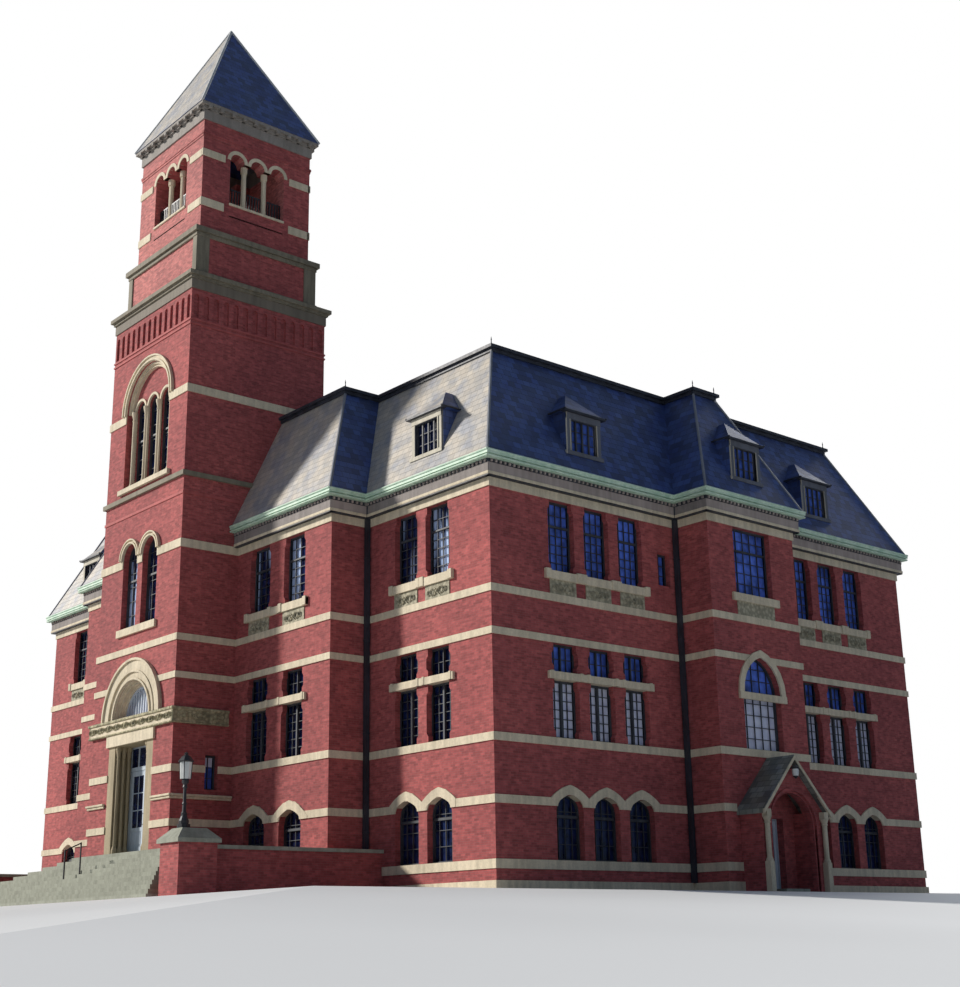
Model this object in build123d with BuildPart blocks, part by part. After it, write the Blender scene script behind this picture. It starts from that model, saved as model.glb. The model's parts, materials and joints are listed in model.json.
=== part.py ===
from build123d import *
from math import acos, cos, sin, sqrt
import os

os.makedirs("parts", exist_ok=True)

# A brick town hall with a square tower over its front door, in millimetres.
# The origin is on the ground, on the tower's centre line, in the plane of the main front.
# X runs along the front and Y runs to the back. The model is centred in X.

# Plan
tower_width = 6418
tower_projection = 2533
tower_wall = 900
middle_width = 6324
middle_projection = 1624
end_width = 6783
wing_depth = 9112
bay_width = 4938
bay_projection = 1564
wall = 500

# Heights of the main block, each one from the level below it
base_course_bottom = 757
base_course = 289
ground_window = 1554
hood_course = 265
hood_drop = 155
ground_storey = 3927
sill_course = 264
first_window = 3170
head_course = 238
floor_band = 1675
apron_course = 255
apron = 512
sill_stone = 290
second_window = 2530
lintel_course = 323
frieze = 547
gutter_height = 263
mansard_height = 4720
curb_height = 250

# Roof
eaves_overhang = 350
gutter_overhang = 425
mansard_inset = 1850
roof_thickness = 200
floor_thickness = 300

# Trim
course_proud = 45
plinth_proud = 70
plinth_height = 400
plinth_foot = 20
sill_proud = 100
reveal = 330
glass_thickness = 24
arc_fineness = 6.5

# Windows of the main block
end_window_width = 1300
end_window_centres = (11800, 13550)
middle_window_width = 1400
middle_window_centres = (4850, 7190)
wing_window_width = 1230
wing_window_centres = (3250, 4950, 6650)
ground_arch_rise = 530
stair_light_centre = 8400
stair_light_width = 640
stair_light_height = 1230
bay_window_width = 2100
bay_arch_rise = 1350
bay_arch_drop = 1150
bay_surround = 260

# Tower
door_sill = 1950
door_height = 4084
portal_half = 1750
portal_lintel = 990
fanlight_half = 1450
portal_surround = 850
pair_width = 1200
pair_centre = 800
pair_ring = 200
big_arch_half = 1800
big_arch_ring = 250
lancet_width = 800
lancet_spacing = 1050
lancet_height = 3350
lancet_sill = 16550
big_arch_spring = 19850
tower_shaft_height = 24300
arcade_bottom = 22640
arcade_height = 1023
arcade_count = 14
arcade_niche = 230
arcade_depth = 80
lower_cornice = 282
lower_cornice_overhang = 213
stage_inset = 340
stage_height = 2018
stage_wall = 600
upper_cornice = 218
upper_cornice_overhang = 170
belfry_inset = 545
belfry_wall = 600
belfry_pier = 1320
belfry_parapet = 1582
belfry_column_height = 2100
belfry_opening = 680
belfry_spacing = 1000
belfry_head = 1470
belfry_eaves = 710
spire_overhang = 300
spire_height = 6063
spire_thickness = 150

# Entrance steps
step_count = 12
step_tread = 350
side_tread = 530
cheek_wall = 400
cheek_height = 1500
pier_width = 1150
pier_depth = 1350
pier_height = 1650
pier_cap_height = 450
coping = 120
pier_gap = 130
pier_set_back = 350
rail_post_gap = 610
rail_place = -6560
rail_height = 1020
rail_width = 45
lamp_set_back = 460

# Side porch
side_door_sill = 150
side_door_width = 1300
side_door_height = 2450
porch_projection = 980
porch_half = 1700
porch_wall = 450
porch_spring = 2230
porch_eaves = 2780
porch_rise = 1740
porch_overhang = 150
porch_front_overhang = 240
porch_roof_thickness = 130
porch_plinth = 1040

# Doors
door_leaf = 1200
door_leaf_height = 3150
door_frame = 60
door_frame_depth = 120
door_thickness = 70
door_gap = 8
leaf_set_back = 20
pin_radius = 12
pin_clearance = 0.3
pin_length = 40
side_door_frame = 50
side_door_depth = 300
transom_bar = 140

# Rainwater pipes
pipe_size = 160

# Plan lines that follow
tower_half = tower_width / 2
middle_edge = tower_half + middle_width
end_edge = middle_edge + end_width
bay_face = end_edge + bay_projection
middle_face = -middle_projection
tower_face = middle_face - tower_projection
tower_rear = tower_face + tower_width
tower_middle = (tower_face + tower_rear) / 2
bay_start = wing_depth
bay_end = bay_start + bay_width
bay_centre = (bay_start + bay_end) / 2
rear_face = bay_end + wing_depth
rear_middle_face = rear_face + middle_projection

# Levels that follow
ground_sill = base_course_bottom + base_course
hood_spring = ground_sill + ground_window
hood_bottom = hood_spring + hood_drop
first_sill = ground_sill + ground_storey
first_head = first_sill + first_window
apron_bottom = first_head + floor_band
second_sill = apron_bottom + apron + sill_stone
second_head = second_sill + second_window
frieze_bottom = second_head + lintel_course
wall_top = frieze_bottom + frieze
roof_foot = wall_top + gutter_height
roof_top = roof_foot + mansard_height
door_head = door_sill + door_height
portal_spring = door_head + portal_lintel
stage_bottom = tower_shaft_height + lower_cornice
stage_top = stage_bottom + stage_height
belfry_bottom = stage_top + upper_cornice
belfry_sill = belfry_bottom + belfry_parapet
belfry_spring = belfry_sill + belfry_column_height
belfry_top = belfry_spring + belfry_head
spire_foot = belfry_top + belfry_eaves
slope_run = (mansard_inset + eaves_overhang) / mansard_height

# Facade planes: X runs to the right as seen from outside and Y runs up
front_end_plane = Plane(origin=(0, 0, 0), x_dir=(1, 0, 0), z_dir=(0, -1, 0))
front_middle_plane = Plane(origin=(0, middle_face, 0), x_dir=(1, 0, 0), z_dir=(0, -1, 0))
tower_front_plane = Plane(origin=(0, tower_face, 0), x_dir=(1, 0, 0), z_dir=(0, -1, 0))
tower_side_plane = Plane(origin=(tower_half, 0, 0), x_dir=(0, 1, 0), z_dir=(1, 0, 0))
tower_rear_plane = Plane(origin=(0, tower_rear, 0), x_dir=(-1, 0, 0), z_dir=(0, 1, 0))
wing_plane = Plane(origin=(end_edge, 0, 0), x_dir=(0, 1, 0), z_dir=(1, 0, 0))
bay_plane = Plane(origin=(bay_face, 0, 0), x_dir=(0, 1, 0), z_dir=(1, 0, 0))
rear_end_plane = Plane(origin=(0, rear_face, 0), x_dir=(-1, 0, 0), z_dir=(0, 1, 0))
rear_middle_plane = Plane(origin=(0, rear_middle_face, 0), x_dir=(-1, 0, 0), z_dir=(0, 1, 0))


def outline(inset=0, tower=False):
    """Corners of the plan, moved inwards by inset, with or without the tower."""
    corners = [
        (middle_edge, middle_face, -1),
        (middle_edge, 0, -1),
        (end_edge, 0, -1),
        (end_edge, bay_start, -1),
        (bay_face, bay_start, -1),
        (bay_face, bay_end, 1),
        (end_edge, bay_end, 1),
        (end_edge, rear_face, 1),
        (middle_edge, rear_face, 1),
        (middle_edge, rear_middle_face, 1),
    ]
    if tower:
        corners = [(tower_half, tower_face, -1), (tower_half, middle_face, -1)] + corners
    right = [(x - inset, y - side * inset) for x, y, side in corners]
    return right + [(-x, y) for x, y in reversed(right)]


def ring(bottom, top, proud, inset=0, tower=False):
    """A course of stone or metal around the plan."""
    with BuildPart() as course:
        with BuildSketch(Plane.XY.offset(bottom)):
            with BuildLine():
                Polyline(*outline(-proud, tower), close=True)
            make_face()
            with BuildLine():
                Polyline(*outline(inset, tower), close=True)
            make_face(mode=Mode.SUBTRACT)
        extrude(amount=top - bottom)
    return course.part


def square_ring(bottom, top, outer, inner):
    """A square course around the tower, given by half its outer and inner width."""
    with BuildPart() as course:
        with BuildSketch(Plane.XY.offset(bottom)):
            with Locations((0, tower_middle)):
                Rectangle(2 * outer, 2 * outer)
                Rectangle(2 * inner, 2 * inner, mode=Mode.SUBTRACT)
        extrude(amount=top - bottom)
    return course.part


def block(x0, x1, y0, y1, z0, z1):
    """A plain block between two corners."""
    with BuildPart() as body:
        with Locations(((x0 + x1) / 2, (y0 + y1) / 2, (z0 + z1) / 2)):
            Box(abs(x1 - x0), abs(y1 - y0), abs(z1 - z0))
    return body.part


def panel(plane, left, right, bottom, top, depth, lift=0):
    """A slab on a facade plane that runs in by depth and stands out by lift."""
    with BuildPart() as slab:
        with BuildSketch(plane.offset(lift)):
            with Locations(((left + right) / 2, (bottom + top) / 2)):
                Rectangle(right - left, top - bottom)
        extrude(amount=-depth - lift)
    return slab.part


def arch(plane, centre, half, bottom, spring, rise, depth, grow=0, lift=0):
    """A solid under a round or pointed arch: grow widens it, the arcs keep their centres."""
    foot = min(bottom, spring - 100)
    base_radius = (half**2 + rise**2) / (2 * half)
    radius = base_radius + grow
    reach = half + grow
    turn = acos((base_radius - half) / radius)
    steps = max(2, round(sqrt(half) / arc_fineness))
    curve = []
    for step in range(1, steps):
        angle = turn * step / steps
        curve.append((reach - radius + radius * cos(angle), spring + radius * sin(angle)))
    right = [(centre + x, z) for x, z in curve]
    left = [(centre - x, z) for x, z in reversed(curve)]
    with BuildPart() as body:
        with BuildSketch(plane.offset(lift)):
            with BuildLine():
                Polyline(
                    (centre - reach, spring),
                    (centre - reach, foot),
                    (centre + reach, foot),
                    (centre + reach, spring),
                    *right,
                    (centre, spring + radius * sin(turn)),
                    *left,
                    close=True,
                )
            make_face()
            if bottom > foot:
                with Locations((centre, bottom - 500)):
                    Rectangle(2 * reach + 100, 1000, mode=Mode.SUBTRACT)
        extrude(amount=-depth - lift)
    return body.part


def both_sides(*pieces):
    """The pieces and their mirror images across the centre line."""
    found = []
    for piece in pieces:
        found += [piece, piece.mirror(Plane.YZ)]
    return found


def window_rows(plane, centres, width):
    """The rectangular windows of the two upper storeys, as (plane, centre, width, sill, head)."""
    rows = []
    for centre in centres:
        rows.append((plane, centre, width, first_sill, first_head))
        rows.append((plane, centre, width, second_sill, second_head))
    return rows


def ground_row(plane, centres, width):
    """The pointed windows of the ground storey, as (plane, centre, width)."""
    return [(plane, centre, width) for centre in centres]


# Window places on the right half, the rear and the bays
far_wing_centres = tuple(2 * bay_centre - centre for centre in reversed(wing_window_centres))
rear_middle_centres = (-6020, 0, 6020)
rear_pair = 585
rear_centres = tuple(c + s * rear_pair * 2 for c in rear_middle_centres for s in (-1, 1))
end_rows = window_rows(front_end_plane, end_window_centres, end_window_width)
middle_rows = window_rows(front_middle_plane, middle_window_centres, middle_window_width)
wing_rows = window_rows(wing_plane, wing_window_centres, wing_window_width)
far_wing_rows = window_rows(wing_plane, far_wing_centres, wing_window_width)
rear_end_places = tuple(-centre for centre in end_window_centres)
rear_end_rows = window_rows(rear_end_plane, rear_end_places, end_window_width)
rear_rows = window_rows(rear_middle_plane, rear_centres, middle_window_width)
bay_row = [(bay_plane, bay_centre, bay_window_width, second_sill, second_head)]
light_bottom = second_head - 1050 - stair_light_height
stair_lights = [
    (wing_plane, place, stair_light_width, light_bottom, light_bottom + stair_light_height)
    for place in (stair_light_centre, 2 * bay_centre - stair_light_centre)
]
end_ground = ground_row(front_end_plane, end_window_centres, end_window_width)
middle_ground = ground_row(front_middle_plane, middle_window_centres, middle_window_width)
wing_ground = ground_row(wing_plane, wing_window_centres + far_wing_centres, wing_window_width)
rear_end_ground = ground_row(rear_end_plane, rear_end_places, end_window_width)
rear_ground = ground_row(rear_middle_plane, rear_centres, middle_window_width)
bay_ground = ground_row(
    bay_plane, (bay_centre - wing_window_width, bay_centre + wing_window_width), wing_window_width
)
bay_arch_spring = first_head - bay_arch_drop
bay_arch_half = bay_window_width / 2


def window_cut(window, depth):
    """The hole of a rectangular window."""
    plane, centre, width, sill, head = window
    return panel(plane, centre - width / 2, centre + width / 2, sill, head, depth, lift=300)


def ground_cut(window, depth):
    """The hole of a pointed ground storey window."""
    plane, centre, width = window
    return arch(
        plane, centre, width / 2, ground_sill, hood_spring, ground_arch_rise, depth, lift=300
    )


def bay_arch_cut(depth, grow=0, lift=300):
    """The hole of the arched window of a side bay."""
    return arch(
        bay_plane, bay_centre, bay_arch_half, first_sill, bay_arch_spring, bay_arch_rise,
        depth, grow, lift,
    )


# Walls of the main block
with BuildPart() as end_walls:
    add(panel(front_end_plane, middle_edge, end_edge, 0, wall_top, wall))
    add([window_cut(w, wall) for w in end_rows], mode=Mode.SUBTRACT)
    add([ground_cut(w, wall) for w in end_ground], mode=Mode.SUBTRACT)
    add(panel(rear_end_plane, -end_edge, -middle_edge, 0, wall_top, wall))
    add([window_cut(w, wall) for w in rear_end_rows], mode=Mode.SUBTRACT)
    add([ground_cut(w, wall) for w in rear_end_ground], mode=Mode.SUBTRACT)
    mirror(about=Plane.YZ)
end_walls.part.label = "end_walls"
export_step(end_walls.part, "parts/end_walls.step")

with BuildPart() as front_middle_walls:
    add(panel(front_middle_plane, tower_half, middle_edge, 0, wall_top, wall))
    add([window_cut(w, wall) for w in middle_rows], mode=Mode.SUBTRACT)
    add([ground_cut(w, wall) for w in middle_ground], mode=Mode.SUBTRACT)
    mirror(about=Plane.YZ)
front_middle_walls.part.label = "front_middle_walls"
export_step(front_middle_walls.part, "parts/front_middle_walls.step")

with BuildPart() as rear_middle_wall:
    add(panel(rear_middle_plane, -middle_edge, middle_edge, 0, wall_top, wall))
    add([window_cut(w, wall) for w in rear_rows], mode=Mode.SUBTRACT)
    add([ground_cut(w, wall) for w in rear_ground], mode=Mode.SUBTRACT)
rear_middle_wall.part.label = "rear_middle_wall"
export_step(rear_middle_wall.part, "parts/rear_middle_wall.step")

with BuildPart() as side_walls:
    add(panel(wing_plane, wall, bay_start, 0, wall_top, wall))
    add(panel(wing_plane, bay_end, rear_face - wall, 0, wall_top, wall))
    add([window_cut(w, wall) for w in wing_rows + far_wing_rows + stair_lights], mode=Mode.SUBTRACT)
    add([ground_cut(w, wall) for w in wing_ground], mode=Mode.SUBTRACT)
    mirror(about=Plane.YZ)
side_walls.part.label = "side_walls"
export_step(side_walls.part, "parts/side_walls.step")

with BuildPart() as return_walls:
    add(block(middle_edge - wall, middle_edge, middle_face + wall, wall, 0, wall_top))
    add(block(middle_edge - wall, middle_edge, rear_face - wall, rear_middle_face - wall, 0, wall_top))
    add(block(end_edge - wall, bay_face - wall, bay_start, bay_start + wall, 0, wall_top))
    add(block(end_edge - wall, bay_face - wall, bay_end - wall, bay_end, 0, wall_top))
    mirror(about=Plane.YZ)
return_walls.part.label = "return_walls"
export_step(return_walls.part, "parts/return_walls.step")

side_door_top = side_door_sill + side_door_height
side_door_half = side_door_width / 2
with BuildPart() as right_bay_wall:
    add(panel(bay_plane, bay_start, bay_end, side_door_top, wall_top, wall))
    add([window_cut(w, wall) for w in bay_row], mode=Mode.SUBTRACT)
    add(bay_arch_cut(wall), mode=Mode.SUBTRACT)
right_bay_wall.part.label = "right_bay_wall"
export_step(right_bay_wall.part, "parts/right_bay_wall.step")

with BuildPart() as right_bay_base:
    add(panel(bay_plane, bay_start, bay_centre - side_door_half, 0, side_door_top, wall))
    add(panel(bay_plane, bay_centre + side_door_half, bay_end, 0, side_door_top, wall))
right_bay_base.part.label = "right_bay_base"
export_step(right_bay_base.part, "parts/right_bay_base.step")

with BuildPart() as left_bay_wall:
    add(panel(bay_plane, bay_start, bay_end, 0, wall_top, wall))
    add([window_cut(w, wall) for w in bay_row], mode=Mode.SUBTRACT)
    add([ground_cut(w, wall) for w in bay_ground], mode=Mode.SUBTRACT)
    add(bay_arch_cut(wall), mode=Mode.SUBTRACT)
    mirror(about=Plane.YZ, mode=Mode.REPLACE)
left_bay_wall.part.label = "left_bay_wall"
export_step(left_bay_wall.part, "parts/left_bay_wall.step")


# Tower shaft
def fanlight_cut(depth, grow=0, lift=300):
    """The half-round hole over the front door."""
    return arch(
        tower_front_plane, 0, fanlight_half, portal_spring, portal_spring, fanlight_half,
        depth, grow, lift,
    )


def pair_cut(centre, depth, grow=0, lift=300):
    """One of the two arched windows over the portal."""
    half = pair_width / 2
    return arch(
        tower_front_plane, centre, half, second_sill, frieze_bottom, half, depth, grow, lift
    )


def lancet_cut(centre, depth, grow=0, lift=0):
    """One of the three narrow windows under the big arch."""
    half = lancet_width / 2
    spring = lancet_sill + lancet_height
    return arch(tower_front_plane, centre, half, lancet_sill, spring, half, depth, grow, lift)


def big_arch_cut(depth, grow=0, lift=300):
    """The tall recess that holds the three lancets."""
    return arch(
        tower_front_plane, 0, big_arch_half, lancet_sill, big_arch_spring, big_arch_half,
        depth, grow, lift,
    )


lancet_centres = (-lancet_spacing, 0, lancet_spacing)
lancet_recess = 280
niche_spacing = tower_width / arcade_count


def arcade(plane, middle):
    """The blind niches under the tower's lower cornice."""
    half = arcade_niche / 2
    first = middle - niche_spacing * (arcade_count - 1) / 2
    spring = arcade_bottom + arcade_height - half
    return [
        arch(
            plane, first + i * niche_spacing, half, arcade_bottom, spring, half, arcade_depth,
            lift=50,
        )
        for i in range(arcade_count)
    ]


with BuildPart() as tower_piers:
    add(panel(tower_front_plane, portal_half, tower_half, 0, door_head, tower_wall))
    add(panel(tower_rear_plane, portal_half, tower_half, 0, door_head, tower_wall))
    mirror(about=Plane.YZ)
tower_piers.part.label = "tower_piers"
export_step(tower_piers.part, "parts/tower_piers.step")

with BuildPart() as tower_front_wall:
    add(panel(tower_front_plane, -tower_half, tower_half, door_head, tower_shaft_height, tower_wall))
    add(fanlight_cut(tower_wall), mode=Mode.SUBTRACT)
    add([pair_cut(c, tower_wall) for c in (-pair_centre, pair_centre)], mode=Mode.SUBTRACT)
    add(big_arch_cut(lancet_recess), mode=Mode.SUBTRACT)
    add([lancet_cut(c, tower_wall) for c in lancet_centres], mode=Mode.SUBTRACT)
    add(arcade(tower_front_plane, 0), mode=Mode.SUBTRACT)
    add(both_sides(*arcade(tower_side_plane, tower_middle)[:2]), mode=Mode.SUBTRACT)
tower_front_wall.part.label = "tower_front_wall"
export_step(tower_front_wall.part, "parts/tower_front_wall.step")

tower_light_centre = -2500
tower_light_width = 540
tower_light_sill = 4100
tower_light_head = 5380


def tower_light_cut(depth, lift=300):
    """The narrow window in the tower's side."""
    half = tower_light_width / 2
    return panel(
        tower_side_plane, tower_light_centre - half, tower_light_centre + half,
        tower_light_sill, tower_light_head, depth, lift,
    )


with BuildPart() as tower_side_walls:
    add(
        panel(
            tower_side_plane, tower_face + tower_wall, tower_rear - tower_wall,
            0, tower_shaft_height, tower_wall,
        )
    )
    add(tower_light_cut(tower_wall), mode=Mode.SUBTRACT)
    add(arcade(tower_side_plane, tower_middle)[2:-2], mode=Mode.SUBTRACT)
    mirror(about=Plane.YZ)
tower_side_walls.part.label = "tower_side_walls"
export_step(tower_side_walls.part, "parts/tower_side_walls.step")

with BuildPart() as tower_rear_wall:
    add(panel(tower_rear_plane, -tower_half, tower_half, door_head, tower_shaft_height, tower_wall))
    add(arcade(tower_rear_plane, 0), mode=Mode.SUBTRACT)
    add(both_sides(*arcade(tower_side_plane, tower_middle)[-2:]), mode=Mode.SUBTRACT)
tower_rear_wall.part.label = "tower_rear_wall"
export_step(tower_rear_wall.part, "parts/tower_rear_wall.step")

# Tower head
stage_half = tower_half - stage_inset
belfry_half = tower_half - belfry_inset
with BuildPart() as tower_stage:
    add(square_ring(stage_bottom, stage_top, stage_half, stage_half - stage_wall))
tower_stage.part.label = "tower_stage"
export_step(tower_stage.part, "parts/tower_stage.step")

with BuildPart() as belfry_piers:
    pier_middle = belfry_half - belfry_pier / 2
    with Locations((0, tower_middle, belfry_bottom)):
        with GridLocations(2 * pier_middle, 2 * pier_middle, 2, 2):
            Box(
                belfry_pier, belfry_pier, belfry_top - belfry_bottom,
                align=(Align.CENTER, Align.CENTER, Align.MIN),
            )
belfry_piers.part.label = "belfry_piers"
export_step(belfry_piers.part, "parts/belfry_piers.step")

belfry_gap = belfry_half - belfry_pier
belfry_front_plane = Plane(
    origin=(0, tower_middle - belfry_half, 0), x_dir=(1, 0, 0), z_dir=(0, -1, 0)
)
tower_axis = Axis((0, tower_middle, 0), (0, 0, 1))


def four_sides(*pieces):
    """The pieces on the belfry's front, turned to its other three sides too."""
    return [piece.rotate(tower_axis, turn) for piece in pieces for turn in (0, 90, 180, 270)]


parapet = panel(
    belfry_front_plane, -belfry_gap, belfry_gap, belfry_bottom, belfry_sill, belfry_wall
)
with BuildPart() as belfry_parapets:
    add(four_sides(parapet))
belfry_parapets.part.label = "belfry_parapets"
export_step(belfry_parapets.part, "parts/belfry_parapets.step")

belfry_centres = (-belfry_spacing, 0, belfry_spacing)
with BuildPart() as belfry_head_wall:
    add(panel(belfry_front_plane, -belfry_gap, belfry_gap, belfry_spring, belfry_top, belfry_wall))
    for place in belfry_centres:
        half = belfry_opening / 2
        cut = arch(
            belfry_front_plane, place, half, belfry_spring - 50, belfry_spring, half,
            belfry_wall, lift=50,
        )
        add(cut, mode=Mode.SUBTRACT)
with BuildPart() as belfry_arches:
    add(four_sides(belfry_head_wall.part))
belfry_arches.part.label = "belfry_arches"
export_step(belfry_arches.part, "parts/belfry_arches.step")

column_radius = 110
column_base = 150
column_base_height = 150
column_capital = 260


def prism(sides, pieces, spot=(0, 0, 0)):
    """A post of many sides, given as (radius, bottom, top) for each piece from the foot up."""
    with BuildPart() as post:
        for radius, bottom, top in pieces:
            with BuildSketch(Plane.XY.offset(bottom)):
                RegularPolygon(radius, sides)
            extrude(amount=top - bottom)
    return post.part.moved(Location(spot))


column = prism(
    8,
    [
        (column_base, 0, column_base_height),
        (column_radius, column_base_height, belfry_column_height - column_capital),
        (column_base, belfry_column_height - column_capital, belfry_column_height),
    ],
)
with BuildPart() as belfry_columns:
    shafts = []
    for place in (-belfry_spacing / 2, belfry_spacing / 2):
        spot = (place, tower_middle - belfry_half + belfry_wall / 2, belfry_sill)
        shafts.append(column.moved(Location(spot)))
    add(four_sides(*shafts))
belfry_columns.part.label = "belfry_columns"
export_step(belfry_columns.part, "parts/belfry_columns.step")

belfry_rail = 900
rail_bar = 50
picket_count = 4
with BuildPart() as railing:
    with BuildSketch(belfry_front_plane.offset(-belfry_wall / 2)):
        for place in belfry_centres:
            with Locations((place, belfry_sill + belfry_rail / 2)):
                Rectangle(belfry_opening, belfry_rail)
            with Locations((place, belfry_sill + belfry_rail / 2)):
                gap = belfry_opening / (picket_count + 1)
                with GridLocations(gap, 1, picket_count + 1, 1):
                    Rectangle(gap - rail_bar, belfry_rail - 2 * rail_bar, mode=Mode.SUBTRACT)
    extrude(amount=rail_bar)
with BuildPart() as belfry_railings:
    add(four_sides(railing.part))
belfry_railings.part.label = "belfry_railings"
export_step(belfry_railings.part, "parts/belfry_railings.step")

eaves_half = belfry_half + spire_overhang
with BuildPart() as tower_eaves:
    add(square_ring(belfry_top, spire_foot - 260, belfry_half + 60, belfry_half - belfry_wall))
    add(square_ring(spire_foot - 260, spire_foot - 130, belfry_half + 130, belfry_half - belfry_wall))
    add(square_ring(spire_foot - 130, spire_foot, eaves_half - 30, belfry_half - belfry_wall))
tower_eaves.part.label = "tower_eaves"
export_step(tower_eaves.part, "parts/tower_eaves.step")

inner_half = eaves_half - 2 * spire_thickness
inner_height = spire_height * inner_half / eaves_half


def pyramid(half, height):
    """The corners of a square pyramid that stands on the tower's eaves."""
    base = [(sx * half, tower_middle + sy * half, spire_foot) for sx in (-1, 1) for sy in (-1, 1)]
    return base + [(0, tower_middle, spire_foot + height)]


with BuildPart() as spire:
    ConvexPolyhedron(pyramid(eaves_half, spire_height))
    ConvexPolyhedron(pyramid(inner_half, inner_height), mode=Mode.SUBTRACT)
spire.part.label = "spire"
export_step(spire.part, "parts/spire.step")


# Stone courses of the tower, cut back where the main roof stands against it
def behind_slope(plane, left, right, reach=9000):
    """The space behind a roof slope, as deep as reach."""
    corners = []
    for place in (left, right):
        for level, inset in ((roof_foot, -eaves_overhang), (roof_top, mansard_inset)):
            corners.append(plane.from_local_coords((place, level, -inset)))
            corners.append(plane.from_local_coords((place, level, -reach)))
    with BuildPart() as space:
        ConvexPolyhedron(corners)
    return space.part


string_bottom = 15270
string_height = 110
sill_cornice = 185
band_bottom = 19448
band_height = 332
arcade_string = 110
tower_frieze = 420
band_inner = tower_half
band_top = band_bottom + band_height
with BuildPart() as tower_courses:
    add(square_ring(string_bottom, string_bottom + string_height, tower_half + 30, band_inner))
    add(square_ring(lancet_sill - 550, lancet_sill - 550 + sill_cornice, tower_half + 110, band_inner))
    add(square_ring(band_bottom, band_top, tower_half + course_proud, band_inner))
    for low in (arcade_bottom - 310, arcade_bottom - 130):
        add(square_ring(low, low + 70, tower_half + 35, band_inner))
    top = tower_shaft_height
    add(square_ring(top - tower_frieze, top, tower_half + course_proud, band_inner))
    add(behind_slope(front_middle_plane, -middle_edge, middle_edge), mode=Mode.SUBTRACT)
    add(big_arch_cut(lancet_recess), mode=Mode.SUBTRACT)
tower_courses.part.label = "tower_courses"
export_step(tower_courses.part, "parts/tower_courses.step")

with BuildPart() as tower_cornices:
    add(square_ring(top, top + 120, tower_half + 110, stage_half - stage_wall))
    overhang = tower_half + lower_cornice_overhang
    add(square_ring(top + 120, stage_bottom, overhang, stage_half - stage_wall))
    overhang = stage_half + upper_cornice_overhang
    add(square_ring(stage_top, belfry_bottom, overhang, belfry_half - belfry_wall))
tower_cornices.part.label = "tower_cornices"
export_step(tower_cornices.part, "parts/tower_cornices.step")

# Stone dressings of the tower front
stone_lift = 60
with BuildPart() as tower_arches:
    add(big_arch_cut(0, grow=big_arch_ring, lift=stone_lift))
    add(big_arch_cut(10, lift=stone_lift + 10), mode=Mode.SUBTRACT)
    add(panel(tower_front_plane, -tower_half, tower_half, lancet_sill - 10, band_top, 10,
              lift=stone_lift + 10), mode=Mode.SUBTRACT)
    add(panel(tower_front_plane, -big_arch_half - 260, big_arch_half + 260,
              lancet_sill - 200, lancet_sill, 0, lift=130))
    for place in (-pair_centre, pair_centre):
        half = pair_width / 2
        ring_piece = arch(tower_front_plane, place, half, frieze_bottom, frieze_bottom, half,
                          0, pair_ring, stone_lift)
        add(ring_piece - pair_cut(place, 10, lift=stone_lift + 10))
    sill_half = pair_centre + pair_width / 2 + 150
    add(panel(tower_front_plane, -sill_half, sill_half, second_sill - 290, second_sill, 0,
              lift=sill_proud))
tower_arches.part.label = "tower_arches"
export_step(tower_arches.part, "parts/tower_arches.step")

# Portal: deep stone jambs, a lintel, a carved frieze and the orders of the arch
jamb = portal_half - door_leaf - door_frame
portal_lift = 90
jamb_depth = tower_wall - 200
with BuildPart() as portal_jambs:
    add(panel(tower_front_plane, portal_half - jamb, portal_half, door_sill, door_head, tower_wall))
    mirror(about=Plane.YZ)
portal_jambs.part.label = "portal_jambs"
export_step(portal_jambs.part, "parts/portal_jambs.step")

lintel_split = portal_spring - 520
with BuildPart() as portal_arch:
    add(panel(tower_front_plane, -portal_half - 120, portal_half + 120, door_head, lintel_split,
              0, lift=portal_lift))
    add(panel(tower_front_plane, -tower_half, tower_half, lintel_split, portal_spring, 0,
              lift=portal_lift + 30))
    add(fanlight_cut(0, grow=portal_surround, lift=portal_lift))
    add(fanlight_cut(10, lift=portal_lift + 10), mode=Mode.SUBTRACT)
    add(fanlight_cut(30 - portal_lift, grow=portal_surround / 3, lift=portal_lift + 10),
        mode=Mode.SUBTRACT)
portal_arch.part.label = "portal_arch"
export_step(portal_arch.part, "parts/portal_arch.step")

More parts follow.
